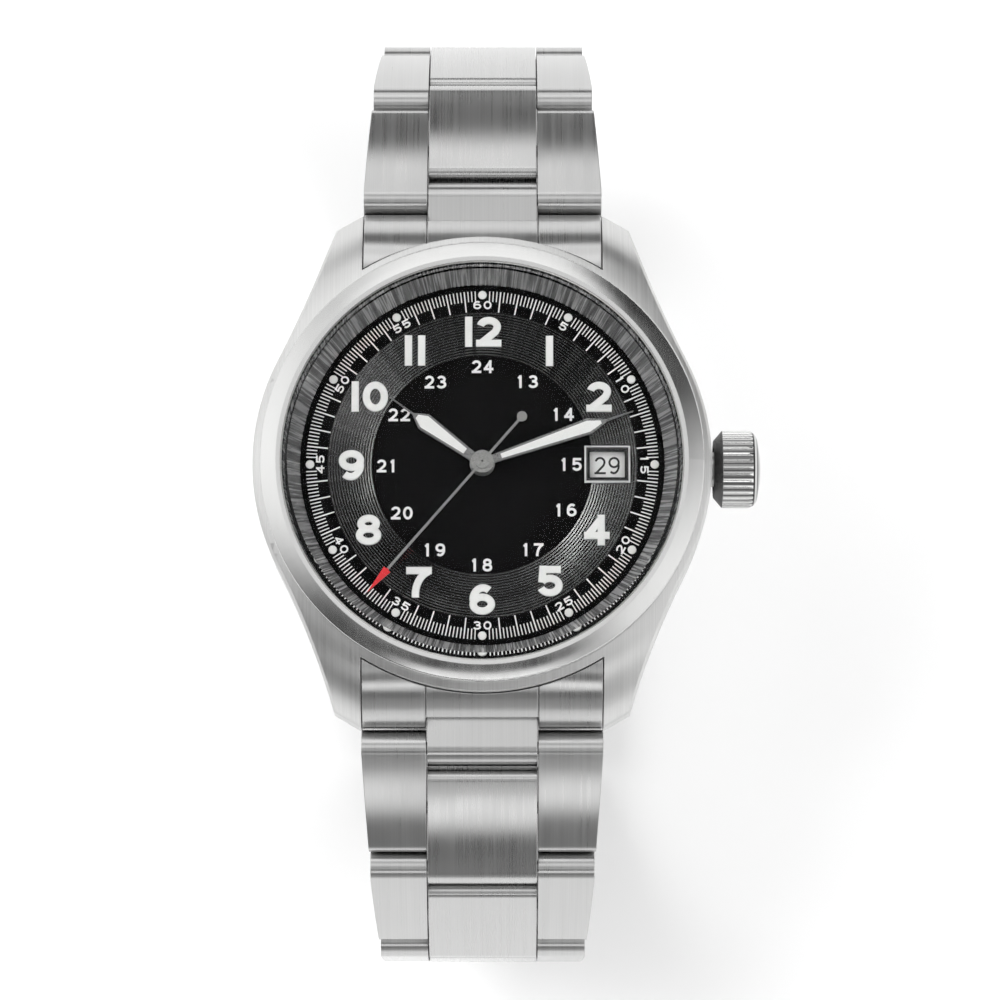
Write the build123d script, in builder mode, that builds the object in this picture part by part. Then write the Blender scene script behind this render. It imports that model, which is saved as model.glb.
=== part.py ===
"""Field watch: a steel case, an automatic movement with date, and a link bracelet with a folding clasp.

Millimetres. +Z is the way the dial faces, +Y points at 12 o'clock and +X at 3 o'clock. The origin is the
centre of the case back's outer face. Each piece is modelled where it sits with the bracelet closed.
"""

import os
from math import cos, hypot, pi, radians, sin

from build123d import *

# Case and lugs
case_d = 38.0
case_bottom_z = 1.1
lug_gap = 20.0
lug_len = 2.64
lug_w = 2.3
lug_nose = 1.34
lug_drop = 4.5
lug_over = 0.16
flank_start_deg = 27.0
rim_slope_deg = 15.0
case_edge = 0.25
cut_over = 3.0

# Clearances shared by the fits
seat_clear = 0.1
press_clear = 0.01
run_clear = 0.05

# Bezel, crystal, gasket and flange ring
bezel_inset = 0.66
bezel_wall_h = 1.0
bezel_slope_w = 1.34
bezel_slope_h = 0.5
bezel_lip_w = 0.38
bezel_edge_round = 0.2
bezel_skirt_t = 0.46
bezel_skirt_h = 0.9
crystal_gap = 0.12
crystal_t = 1.5
crystal_seat_h = 0.35
crystal_bevel = 0.45
gasket_t = 0.3
gasket_h = 0.8
flange_h = 2.25
flange_inset = 0.4
flange_slope_w = 1.0
flange_lip = 0.22

# Dial and its window
dial_tuck = 0.4
dial_t = 0.4
dial_bore_r = 0.85
dial_seat_w = 0.8
window_inset = 1.85
window_w = 2.9
window_h = 2.2
frame_w = 0.45
frame_t = 0.25

# Case back and its gasket
back_flange_w = 1.5
back_floor_t = 0.9
back_plug_t = 1.0
back_plug_h = 1.4
back_seal_inset = 0.2
back_seal_w = 0.7
back_seal_h = 0.32
back_groove_t = 0.35
back_notch_count = 6
back_notch_w = 2.4
back_notch_t = 0.5
back_bevel = 0.3

# Movement: rotor, bridge, plate and ring, from the back up
ring_wall = 1.6
ring_gap = 0.2
ring_top_gap = 0.05
rotor_floor_gap = 0.4
rotor_h = 1.05
rotor_web_drop = 0.45
rotor_web_t = 0.3
rotor_side_gap = 0.1
rotor_rim_w = 2.1
rotor_hub_r = 2.0
bridge_gap = 0.15
bridge_t = 0.7
train_h = 1.8
plate_t = 1.1
calendar_h = 0.7
pillar_r = 0.7
pillar_inset = 0.9
pillar_degs = (30.0, 100.0, 170.0, 240.0, 285.0)
post_r = 0.9
cock_deg = -40.0
cock_foot_deg = -14.0
cock_r = 1.5
cock_arm_w = 2.0
cock_gap = 0.3

# Going train: radii, and heights above the bridge
arbor_r = 0.15
arbor_gap = 0.05
tip_gap = 0.05
wheel_t = 0.15
tooth_h = 0.16
tooth_corner_shares = (-0.3, -0.16, 0.16, 0.3)
pinion_tooth_h = 0.1
fourth_wheel_r = 3.1
fourth_wheel_lift = 0.1
fourth_pinion_r = 0.4
fourth_pinion_lift = 0.3
pinion_t = 0.2
third_deg = 200.0
third_wheel_lift = 0.33
third_pinion_r = 0.38
third_pinion_lift = 0.55
centre_wheel_r = 2.9
centre_wheel_lift = 0.58
centre_pinion_r = 0.7
centre_pinion_lift = 0.85
centre_pinion_t = 0.3
barrel_deg = 120.0
barrel_inset = 2.25
barrel_lift = 0.9
barrel_gear_t = 0.2
barrel_drum_inset = 0.4
barrel_drum_h = 0.75
barrel_wall = 0.25
barrel_arbor_r = 0.6
mainspring_inner_r = 1.0
mainspring_t = 0.12
mainspring_gap = 0.08
mainspring_pitch = 0.5
escape_pinion_r = 0.27
escape_wheel_r = 1.7
escape_lift = 0.8
escape_tooth_h = 0.5
pallet_gap = 0.88
pallet_t = 0.2
pallet_lever_w = 0.35
pallet_span = 1.2
pallet_tip = 0.85
fork_gap = 0.03
balance_inset = 0.2
balance_arbor_gap = 0.25
balance_rim_w = 0.6
balance_lift = 1.15
balance_t = 0.35
balance_arm_w = 0.5
roller_r = 0.35
hairspring_lift = 0.3
hairspring_t = 0.1
hairspring_h = 0.15
hairspring_inner_r = 0.5
hairspring_pitch = 0.3
hairspring_gap = 0.2
centre_tooth_count = 80
third_tooth_count = 75
fourth_tooth_count = 96
barrel_tooth_count = 70
pinion_tooth_count = 10
escape_pinion_tooth_count = 8
escape_tooth_count = 15

# Hands and the tubes that carry them
cannon_r = 0.42
cannon_proud = 0.15
hour_tube_r = 0.75
hour_wheel_r = 2.4
hour_wheel_gap = 0.1
hour_tooth_count = 36
hand_t = 0.15
hour_hand_lift = 0.4
minute_hand_lift = 0.55
second_hand_lift = 0.57
hour_hand_deg = 306.0
minute_hand_deg = 71.0
second_hand_deg = 221.0
hour_hub_r = 1.05
minute_hub_r = 1.0
second_hub_r = 0.95
second_cap_r = 0.6
second_cap_h = 0.2
hour_tip_inset = 5.6
hour_needle_len = 2.4
hour_taper_len = 1.1
hour_wide_w = 1.5
hour_neck_w = 0.8
minute_tip_inset = 1.9
minute_needle_len = 2.3
minute_taper_len = 1.5
minute_wide_w = 1.35
minute_neck_w = 0.7
needle_w = 0.16
needle_tip_w = 0.1
second_tip_inset = 0.7
second_flare_len = 2.5
second_flare_w = 0.7
second_w = 0.2
second_tail_len = 5.0
second_paddle_r = 0.42

# Date ring
date_gap = 0.15
date_t = 0.3
date_inset = 0.8
date_w = 3.5
date_tooth_count = 31
date_tooth_h = 0.35

# Crown, its tube, stem and sliding pinion
stem_drop = 0.1
stem_r = 0.6
stem_inset = 4.4
stem_end_gap = 0.5
stem_slot_half = 1.15
pinion_gap = 0.3
pinion_len = 2.2
sliding_pinion_r = 0.9
tube_r = 1.45
tube_bore_r = 0.75
tube_inset = 0.5
tube_proud = 2.5
crown_gap = 0.25
crown_cone_w = 0.7
crown_r = 3.22
crown_seal_t = 0.45
crown_lip_t = 0.5
crown_bore_gap = 0.2
crown_round = 0.9
crown_dome_h = 1.0
crown_dome_w = 0.2
flute_len = 2.05
flute_count = 34
flute_r = 0.25
flute_proud = 0.06
crown_seal_inset = 0.25
crown_seal_w = 0.4

# Bracelet rows, from the case to the clasp
link_t = 3.0
link_crown = 0.3
link_pitch = 10.5
link_gap = 0.15
link_round = 0.8
row_gap = 0.06
side_clear = 0.1
centre_w = 9.1
band_w_clasp = 16.0
taper_row_count = 3
first_pivot_h = 2.7
row_tilt_degs = (25.5, 57.5, 91.5, 124.0, 152.0)
pin_r = 0.5
pin_inset = 0.1

# End links and spring bars
end_link_clear = 0.1
end_link_run = 4.4
end_link_flat = 1.3
end_link_drop = 0.35
end_link_tip_h = 1.4
end_link_foot_h = 1.7
end_link_step = 0.75
end_link_round = 0.7
seam_w = 0.12
seam_depth = 0.3
bar_wall = 0.15
bar_drop = 0.4
bar_r = 0.75
bar_tip_r = 0.45
bar_tip_len = 0.8

# Folding clasp
knuckle_drop = 0.2
cover_end_gap = 2.4
cover_wall = 1.2
cover_floor_t = 1.0
cover_lip = 0.6
cover_round = 0.8
blade_t = 0.9
blade_side_gap = 0.15
blade_gap = 0.3
fold_inner_inset = 4.0
fold_outer_inset = 1.2
hinge_r = 1.05
hinge_pin_r = 0.4
hinge_mid_half_w = 2.0
notch_clear = 0.3
notch_len = 2.4
button_y = -8.0
button_drop = 0.9
button_r = 0.8
button_collar_r = 1.0
button_proud = 0.7
button_collar_w = 0.7

# Radii, from the case inwards
case_r = case_d / 2
bezel_r = case_r - bezel_inset
bezel_top_r = bezel_r - bezel_slope_w
bezel_lip_r = bezel_top_r - bezel_lip_w
crystal_r = bezel_lip_r - crystal_gap
case_bore_r = crystal_r + gasket_t
flange_outer_r = case_bore_r - run_clear
flange_top_r = crystal_r - flange_inset
flange_r = flange_top_r - flange_slope_w
dial_r = flange_r + dial_tuck
bore_r = dial_r - dial_seat_w
back_r = bore_r + back_flange_w
back_plug_r = bore_r - seat_clear
back_seal_r = bore_r + back_seal_inset
plate_r = back_plug_r - ring_wall
rotor_r = plate_r - rotor_side_gap
date_outer_r = plate_r - date_inset
date_inner_r = date_outer_r - date_w
window_x = date_outer_r - window_inset
hour_tip_r = flange_r - hour_tip_inset
minute_tip_r = flange_r - minute_tip_inset
second_tip_r = flange_r - second_tip_inset
hour_needle_r = hour_tip_r - hour_needle_len
hour_wide_r = hour_needle_r - hour_taper_len
minute_needle_r = minute_tip_r - minute_needle_len
minute_wide_r = minute_needle_r - minute_taper_len
second_flare_r = second_tip_r - second_flare_len

# Heights, from the case back to the crystal
rotor_z = back_floor_t + rotor_floor_gap
rotor_top_z = rotor_z + rotor_h
rotor_web_z = rotor_top_z - rotor_web_drop
post_z = rotor_z + run_clear
bridge_z = rotor_top_z + bridge_gap
bridge_top_z = bridge_z + bridge_t
plate_z = bridge_top_z + train_h
plate_top_z = plate_z + plate_t
dial_z = plate_top_z + calendar_h
dial_top_z = dial_z + dial_t
crystal_z = dial_top_z + flange_h
crystal_top_z = crystal_z + crystal_t
case_top_z = crystal_z - crystal_seat_h
bezel_edge_z = case_top_z + bezel_wall_h
bezel_top_z = bezel_edge_z + bezel_slope_h
bezel_skirt_z = case_top_z - bezel_skirt_h
back_plug_z = case_bottom_z + back_plug_h
ring_z = back_plug_z + ring_gap
date_z = plate_top_z + date_gap
hour_wheel_z = plate_top_z + hour_wheel_gap
hour_hand_z = dial_top_z + hour_hand_lift
minute_hand_z = hour_hand_z + minute_hand_lift
second_hand_z = minute_hand_z + second_hand_lift
hour_tube_top_z = hour_hand_z + hand_t
cannon_top_z = minute_hand_z + cannon_proud
stem_z = plate_z - stem_drop

# Movement: places of the train
train_low_z = bridge_top_z + arbor_gap
train_high_z = plate_z - arbor_gap
pillar_ring_r = plate_r - pillar_inset
third_reach = centre_wheel_r + third_pinion_r + tip_gap
third_wheel_r = third_reach - fourth_pinion_r - tip_gap
barrel_gear_r = (plate_r - barrel_inset - centre_pinion_r - tip_gap) / 2
barrel_reach = barrel_gear_r + centre_pinion_r + tip_gap
barrel_drum_r = barrel_gear_r - barrel_drum_inset
mainspring_room = barrel_drum_r - barrel_wall - mainspring_gap - mainspring_t - mainspring_inner_r
mainspring_half_turn_count = int(2 * mainspring_room / mainspring_pitch)
fourth_wheel_z = bridge_top_z + fourth_wheel_lift
fourth_pinion_z = bridge_top_z + fourth_pinion_lift
third_wheel_z = bridge_top_z + third_wheel_lift
third_pinion_z = bridge_top_z + third_pinion_lift
centre_wheel_z = bridge_top_z + centre_wheel_lift
centre_pinion_z = bridge_top_z + centre_pinion_lift
barrel_gear_z = bridge_top_z + barrel_lift
barrel_top_z = barrel_gear_z + barrel_drum_h
escape_wheel_z = bridge_top_z + escape_lift
balance_z = bridge_top_z + balance_lift
hairspring_z = bridge_top_z + hairspring_lift
escape_reach = fourth_wheel_r + escape_pinion_r + tip_gap
pallet_reach = escape_reach + escape_wheel_r + pallet_gap
balance_span = plate_r - balance_inset - pallet_reach
balance_r = (balance_span + balance_rim_w + arbor_r + balance_arbor_gap) / 2
balance_reach = plate_r - balance_inset - balance_r
hairspring_room = balance_reach - pallet_reach - hairspring_gap - hairspring_inner_r
hairspring_half_turn_count = int(2 * hairspring_room / hairspring_pitch)

# Crown along the stem
tube_inner_x = bore_r + tube_inset
tube_outer_x = case_r + tube_proud
crown_base_x = case_r + crown_gap
crown_flute_x = crown_base_x + crown_cone_w
crown_flute_end_x = crown_flute_x + flute_len
crown_dome_x = crown_flute_end_x + crown_round
crown_end_x = crown_dome_x + crown_dome_w
crown_bore_end_x = tube_outer_x + crown_bore_gap
crown_seal_x = crown_base_x + crown_seal_inset
crown_bore_r = tube_r + crown_seal_t
crown_base_r = crown_bore_r + crown_lip_t
crown_dome_r = crown_r - crown_round
crown_end_r = crown_dome_r - crown_dome_h
stem_inner_x = plate_r - stem_inset
stem_outer_x = crown_end_x - stem_end_gap
pinion_inner_x = stem_inner_x + pinion_gap

# Lugs, end links and rows
lug_tip_y = case_r + lug_len
lug_shoulder_x = lug_gap / 2 + lug_w
lug_shoulder_y = lug_tip_y - lug_nose
lug_tip_z = case_top_z - lug_drop
lug_reach = hypot(lug_gap / 2, lug_tip_y) + lug_over
lug_floor_r = case_r + end_link_clear
half_t = link_t / 2
first_pivot_y = lug_tip_y + half_t + row_gap
first_pivot_z = case_bottom_z + first_pivot_h
end_link_in_y = case_r - end_link_run
end_link_top_y = end_link_in_y + end_link_flat
end_link_top_z = case_top_z - end_link_drop
end_link_tip_z = first_pivot_z + end_link_tip_h
end_link_bottom_z = first_pivot_z - end_link_foot_h
bar_y = lug_floor_r + bar_wall + bar_r
bar_z = first_pivot_z - bar_drop
side_end = link_pitch - half_t - link_gap
centre_start = half_t + link_gap
row_count = len(row_tilt_degs)
knuckle_r = half_t - knuckle_drop
blade_half_w = centre_w / 2 - blade_side_gap
knuckle_half_w = blade_half_w - seat_clear
hinge_side_w = blade_half_w - hinge_mid_half_w
cover_half_w = band_w_clasp / 2 + cover_wall


def polar(radius, angle_deg):
    """The point at a radius and an angle from +X."""
    return (radius * cos(radians(angle_deg)), radius * sin(radians(angle_deg)))


def side_plane(sign):
    """The plane x = 0 with its first axis along +Y (sign 1) or -Y (sign -1) and its second along +Z."""
    return Plane(origin=(0, 0, 0), x_dir=(0, sign, 0), z_dir=(sign, 0, 0))


def crown_plane(x):
    """A plane square to the stem, centred on it."""
    return Plane(origin=(x, 0, stem_z), z_dir=(1, 0, 0))


def row_pivots():
    """The pivots of the rows in the plane of the loop, as distance from the case and height."""
    points = [(first_pivot_y, first_pivot_z)]
    for tilt in row_tilt_degs:
        y, z = points[-1]
        points.append((y + link_pitch * cos(radians(tilt)), z - link_pitch * sin(radians(tilt))))
    return points


def row_plane(sign, index):
    """A row's own plane: first axis along the row, second its outward normal, third across the band."""
    y, z = pivots[index]
    tilt = radians(row_tilt_degs[index])
    return Plane(origin=(0, sign * y, z), x_dir=(0, sign * cos(tilt), -sin(tilt)), z_dir=(sign, 0, 0))


def band_width(index):
    """The band's width at a pivot: it narrows over the first rows and then stays."""
    return lug_gap + (band_w_clasp - lug_gap) * min(index, taper_row_count) / taper_row_count


pivots = row_pivots()
clasp_y, clasp_z = pivots[-1]
cover_half_len = clasp_y - cover_end_gap
fold_inner_y = cover_half_len - fold_inner_inset
fold_outer_y = cover_half_len - fold_outer_inset
notch_in_y = fold_outer_y - notch_len


def gear_points(tip_r, depth, count):
    """The corners of a toothed outline, four to a tooth."""
    points = []
    step = 2 * pi / count
    for index in range(count):
        for share, drop in zip(tooth_corner_shares, (depth, 0, 0, depth)):
            angle = (index + share) * step
            points.append(((tip_r - drop) * cos(angle), (tip_r - drop) * sin(angle)))
    return points


def gear(tip_r, depth, count, mode=Mode.ADD):
    """A toothed disc, drawn in the sketch that is open."""
    with BuildLine() as outline:
        Polyline(*gear_points(tip_r, depth, count), close=True)
    make_face(outline.edges(), mode=mode)


def disc(x, y, z, radius, height):
    """A plain round solid standing on height z, added to the part that is open."""
    with BuildSketch(Plane(origin=(x, y, z))) as base:
        Circle(radius)
    extrude(base.sketch, amount=height)


def hole(x, y, z, radius, height):
    """A round hole up from height z, cut from the part that is open."""
    with BuildSketch(Plane(origin=(x, y, z))) as base:
        Circle(radius)
    extrude(base.sketch, amount=height, mode=Mode.SUBTRACT)


def toothed_disc(x, y, z, tip_r, depth, count, height):
    """A toothed solid standing on height z, added to the part that is open."""
    with BuildSketch(Plane(origin=(x, y, z))) as base:
        gear(tip_r, depth, count)
    extrude(base.sketch, amount=height)


def spiral_ribbon(inner_r, pitch, half_turns, thickness):
    """A flat spiral ribbon of half circles, drawn in the sketch that is open."""
    with BuildLine() as outline:
        ends = []
        for offset_share in (-0.5, 0.5):
            radius = inner_r + offset_share * thickness
            start = (radius, 0)
            first = start
            for index in range(half_turns):
                next_radius = radius + pitch / 2
                side = 1 if index % 2 == 0 else -1
                end = (-side * next_radius, 0)
                middle_x = (start[0] + end[0]) / 2
                middle = (middle_x, side * (radius + next_radius) / 2)
                ThreePointArc(start, middle, end)
                start = end
                radius = next_radius
            ends.append((first, start))
        Line(ends[0][0], ends[1][0])
        Line(ends[0][1], ends[1][1])
    make_face(outline.edges())


def ring(inner_r, outer_r, z, top_z):
    """A plain ring between two heights, added to the part that is open."""
    with BuildSketch(Plane.XY.offset(z)) as base:
        Circle(outer_r)
        Circle(inner_r, mode=Mode.SUBTRACT)
    extrude(base.sketch, amount=top_z - z)


# Case middle
def case_outline():
    """The case seen from the front, drawn in the sketch that is open."""
    start = polar(case_r, flank_start_deg)
    tangent = polar(1, flank_start_deg + 90)
    with BuildLine() as outline:
        CenterArc((0, 0), case_r, 0, flank_start_deg)
        TangentArc(start, (lug_shoulder_x, lug_shoulder_y), tangent=tangent)
        Line((lug_shoulder_x, lug_shoulder_y), (lug_gap / 2, lug_tip_y))
        Line((lug_gap / 2, lug_tip_y), (0, lug_tip_y))
        mirror(about=Plane.XZ)
        mirror(about=Plane.YZ)
    make_face(outline.edges())


with BuildPart() as case_middle:
    with BuildSketch(Plane.XY.offset(case_bottom_z)):
        case_outline()
    extrude(amount=case_top_z - case_bottom_z)
    with BuildSketch(Plane.XY.offset(case_bottom_z)):
        with Locations((0, case_r), (0, -case_r)):
            Rectangle(lug_gap, case_r)
        Circle(case_r, mode=Mode.SUBTRACT)
    extrude(amount=case_top_z - case_bottom_z, mode=Mode.SUBTRACT)
    with BuildSketch(Plane.XZ):
        with BuildLine():
            TangentArc(
                (bezel_r, case_top_z), (lug_reach, lug_tip_z), tangent=polar(1, -rim_slope_deg)
            )
            Polyline(
                (lug_reach, lug_tip_z),
                (lug_reach, case_top_z + cut_over),
                (bezel_r, case_top_z + cut_over),
                (bezel_r, case_top_z),
            )
        make_face()
    revolve(axis=Axis.Z, mode=Mode.SUBTRACT)
    level_edges = case_middle.edges().filter_by(Axis.Z, reverse=True)
    side_edges = level_edges.filter_by(lambda edge: abs(edge.center().X) > lug_gap / 2 + case_edge)
    chamfer(side_edges.sort_by(Axis.Z)[:-1], case_edge)
    with BuildSketch(Plane.XZ):
        with BuildLine():
            Polyline(
                (0, case_bottom_z - cut_over),
                (bore_r, case_bottom_z - cut_over),
                (bore_r, dial_z),
                (dial_r + run_clear, dial_z),
                (dial_r + run_clear, dial_top_z),
                (case_bore_r, dial_top_z),
                (case_bore_r, bezel_skirt_z),
                (case_bore_r + bezel_skirt_t + run_clear, bezel_skirt_z),
                (case_bore_r + bezel_skirt_t + run_clear, case_top_z + cut_over),
                (0, case_top_z + cut_over),
                close=True,
            )
        make_face()
    revolve(axis=Axis.Z, mode=Mode.SUBTRACT)
    with BuildSketch(crown_plane(bore_r - cut_over)):
        Circle(tube_r + press_clear)
    extrude(amount=case_r, mode=Mode.SUBTRACT)
    for sign in (1, -1):
        with BuildSketch(side_plane(sign)):
            with Locations((bar_y, bar_z)):
                Circle(bar_tip_r + press_clear)
        extrude(amount=lug_gap / 2 + bar_tip_len + press_clear, both=True, mode=Mode.SUBTRACT)
case_middle.part.label = "case_middle"

# Bezel, crystal, its gasket and the flange ring
with BuildPart() as bezel:
    with BuildSketch(Plane.XZ) as profile:
        with BuildLine():
            Polyline(
                (bezel_r, bezel_edge_z),
                (bezel_r, case_top_z),
                (case_bore_r + bezel_skirt_t, case_top_z),
                (case_bore_r + bezel_skirt_t, bezel_skirt_z),
                (case_bore_r, bezel_skirt_z),
                (case_bore_r, crystal_z + gasket_h + seat_clear),
                (bezel_lip_r, crystal_z + gasket_h + seat_clear),
                (bezel_lip_r, bezel_top_z),
                (bezel_top_r, bezel_top_z),
            )
            TangentArc((bezel_top_r, bezel_top_z), (bezel_r, bezel_edge_z), tangent=polar(1, -rim_slope_deg))
        make_face()
        fillet(profile.vertices().sort_by_distance((bezel_r, bezel_edge_z, 0))[:1], bezel_edge_round)
    revolve(axis=Axis.Z)
bezel.part.label = "bezel"

with BuildPart() as crystal:
    with BuildSketch(Plane.XY.offset(crystal_z)):
        Circle(crystal_r)
    extrude(amount=crystal_top_z - crystal_z)
    chamfer(crystal.edges().group_by(Axis.Z)[-1], crystal_bevel)
crystal.part.label = "crystal"

with BuildPart() as crystal_gasket:
    ring(crystal_r + press_clear, crystal_r + gasket_t, crystal_z, crystal_z + gasket_h)
crystal_gasket.part.label = "crystal_gasket"

with BuildPart() as flange_ring:
    with BuildSketch(Plane.XZ):
        with BuildLine():
            Polyline(
                (flange_r, dial_top_z),
                (flange_outer_r, dial_top_z),
                (flange_outer_r, crystal_z),
                (flange_top_r, crystal_z),
                (flange_r, dial_top_z + flange_lip),
                close=True,
            )
        make_face()
    revolve(axis=Axis.Z)
flange_ring.part.label = "flange_ring"

# Dial and date frame
with BuildPart() as dial:
    with BuildSketch(Plane.XY.offset(dial_z)):
        Circle(dial_r)
        Circle(dial_bore_r, mode=Mode.SUBTRACT)
        with Locations((window_x, 0)):
            Rectangle(window_w, window_h, mode=Mode.SUBTRACT)
    extrude(amount=dial_t)
dial.part.label = "dial"

with BuildPart() as date_frame:
    with BuildSketch(Plane.XY.offset(dial_top_z)):
        with Locations((window_x, 0)):
            Rectangle(window_w + 2 * frame_w, window_h + 2 * frame_w)
            Rectangle(window_w, window_h, mode=Mode.SUBTRACT)
    extrude(amount=frame_t)
    chamfer(date_frame.edges().group_by(Axis.Z)[-1], frame_t / 2)
date_frame.part.label = "date_frame"

# Case back with its wrench notches, and its gasket
with BuildPart() as case_back:
    disc(0, 0, 0, back_r, case_bottom_z)
    chamfer(case_back.edges().group_by(Axis.Z)[0], back_bevel)
    disc(0, 0, case_bottom_z, back_plug_r, back_plug_z - case_bottom_z)
    hole(0, 0, back_floor_t, back_plug_r - back_plug_t, back_plug_z - back_floor_t)
    with BuildSketch(Plane.XY.offset(case_bottom_z - back_groove_t)):
        Circle(back_seal_r + back_seal_w)
        Circle(back_seal_r, mode=Mode.SUBTRACT)
    extrude(amount=back_groove_t, mode=Mode.SUBTRACT)
    with BuildSketch(Plane.XY):
        with PolarLocations(back_r, back_notch_count):
            Rectangle(back_notch_w, back_notch_w)
    extrude(amount=back_notch_t, mode=Mode.SUBTRACT)
case_back.part.label = "case_back"

with BuildPart() as case_back_gasket:
    ring(
        back_seal_r + run_clear,
        back_seal_r + back_seal_w - run_clear,
        case_bottom_z - back_seal_h,
        case_bottom_z,
    )
case_back_gasket.part.label = "case_back_gasket"

# Crown tube, crown, gasket, stem and sliding pinion
with BuildPart() as crown_tube:
    with BuildSketch(crown_plane(tube_inner_x)):
        Circle(tube_r)
        Circle(tube_bore_r, mode=Mode.SUBTRACT)
    extrude(amount=tube_outer_x - tube_inner_x)
crown_tube.part.label = "crown_tube"

with BuildPart() as crown:
    with BuildSketch(Plane.XZ):
        with BuildLine():
            Polyline(
                (crown_dome_x, stem_z + crown_dome_r),
                (crown_end_x, stem_z + crown_end_r),
                (crown_end_x, stem_z),
                (stem_outer_x, stem_z),
                (stem_outer_x, stem_z + stem_r + press_clear),
                (crown_bore_end_x, stem_z + stem_r + press_clear),
                (crown_bore_end_x, stem_z + crown_bore_r),
                (crown_base_x, stem_z + crown_bore_r),
                (crown_base_x, stem_z + crown_base_r),
                (crown_flute_x, stem_z + crown_r),
                (crown_flute_end_x, stem_z + crown_r),
            )
            CenterArc((crown_flute_end_x, stem_z + crown_dome_r), crown_round, 0, 90)
        make_face()
    revolve(axis=Axis((0, 0, stem_z), (1, 0, 0)))
    with BuildSketch(crown_plane(crown_flute_x)):
        with PolarLocations(crown_r + flute_proud, flute_count):
            Circle(flute_r)
    extrude(amount=crown_dome_x - crown_flute_x, mode=Mode.SUBTRACT)
crown.part.label = "crown"

with BuildPart() as crown_gasket:
    with BuildSketch(crown_plane(crown_seal_x)):
        Circle(crown_bore_r - press_clear)
        Circle(tube_r + run_clear, mode=Mode.SUBTRACT)
    extrude(amount=crown_seal_w)
crown_gasket.part.label = "crown_gasket"

with BuildPart() as winding_stem:
    with BuildSketch(crown_plane(stem_inner_x)):
        Circle(stem_r)
    extrude(amount=stem_outer_x - stem_inner_x)
winding_stem.part.label = "winding_stem"

with BuildPart() as sliding_pinion:
    with BuildSketch(crown_plane(pinion_inner_x)):
        gear(sliding_pinion_r, pinion_tooth_h, pinion_tooth_count)
        Circle(stem_r + run_clear, mode=Mode.SUBTRACT)
    extrude(amount=pinion_len)
sliding_pinion.part.label = "sliding_pinion"

# Movement ring, main plate, bridges
escape_x, escape_y = polar(escape_reach, cock_deg)
pallet_x, pallet_y = polar(pallet_reach, cock_deg)
balance_x, balance_y = polar(balance_reach, cock_deg)
foot_x, foot_y = polar(pillar_ring_r, cock_foot_deg)
third_x, third_y = polar(third_reach, third_deg)
barrel_x, barrel_y = polar(barrel_reach, barrel_deg)


def stem_slot():
    """The slot for the stem, cut from the part that is open."""
    with BuildSketch(crown_plane(stem_inner_x - seat_clear)) as base:
        Rectangle(2 * stem_slot_half, 2 * stem_slot_half)
    extrude(base.sketch, amount=case_r, mode=Mode.SUBTRACT)


def cock_outline(extra):
    """The balance cock seen from the back, grown by extra, drawn in the sketch that is open."""
    middle = ((balance_x + foot_x) / 2, (balance_y + foot_y) / 2)
    arm = Vector(foot_x - balance_x, foot_y - balance_y, 0)
    with Locations((balance_x, balance_y)):
        Circle(cock_r + extra)
    with Locations((foot_x, foot_y)):
        Circle(pillar_r + extra)
    with Locations(Location(middle, arm.get_signed_angle(Vector(1, 0, 0), Vector(0, 0, -1)))):
        Rectangle(arm.length, cock_arm_w + 2 * extra)


with BuildPart() as movement_ring:
    ring(plate_r + run_clear, plate_r + ring_wall, ring_z, dial_z - ring_top_gap)
    stem_slot()
movement_ring.part.label = "movement_ring"

with BuildPart() as main_plate:
    disc(0, 0, plate_z, plate_r, plate_t)
    hole(0, 0, plate_z, cannon_r + run_clear, plate_t)
    stem_slot()
main_plate.part.label = "main_plate"

with BuildPart() as train_bridge:
    disc(0, 0, bridge_z, plate_r, bridge_t)
    with BuildSketch(Plane.XY.offset(bridge_z)):
        cock_outline(cock_gap)
        with Locations((balance_x, balance_y)):
            Circle(balance_r + cock_gap)
        with BuildLine():
            Polyline(
                (balance_x, balance_y),
                (2 * foot_x - balance_x, 2 * foot_y - balance_y),
                polar(2 * plate_r, cock_deg),
                close=True,
            )
        make_face()
    extrude(amount=bridge_t, mode=Mode.SUBTRACT)
    for place_deg in pillar_degs:
        x, y = polar(pillar_ring_r, place_deg)
        disc(x, y, bridge_top_z, pillar_r, plate_z - bridge_top_z)
    disc(0, 0, post_z, post_r, bridge_z - post_z)
train_bridge.part.label = "train_bridge"

with BuildPart() as balance_cock:
    with BuildSketch(Plane.XY.offset(bridge_z)):
        cock_outline(0)
    extrude(amount=bridge_t)
    disc(foot_x, foot_y, bridge_top_z, pillar_r, plate_z - bridge_top_z)
balance_cock.part.label = "balance_cock"


# Going train
def arbor(x, y, top_z):
    """A wheel's arbor from the bridge up, added to the part that is open."""
    disc(x, y, train_low_z, arbor_r, top_z - train_low_z)


with BuildPart() as fourth_wheel:
    toothed_disc(0, 0, fourth_wheel_z, fourth_wheel_r, tooth_h, fourth_tooth_count, wheel_t)
    toothed_disc(0, 0, fourth_pinion_z, fourth_pinion_r, pinion_tooth_h, pinion_tooth_count, pinion_t)
    arbor(0, 0, second_hand_z + hand_t)
fourth_wheel.part.label = "fourth_wheel"

with BuildPart() as third_wheel:
    toothed_disc(third_x, third_y, third_wheel_z, third_wheel_r, tooth_h, third_tooth_count, wheel_t)
    toothed_disc(
        third_x, third_y, third_pinion_z, third_pinion_r, pinion_tooth_h, pinion_tooth_count, pinion_t
    )
    arbor(third_x, third_y, train_high_z)
third_wheel.part.label = "third_wheel"

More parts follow.
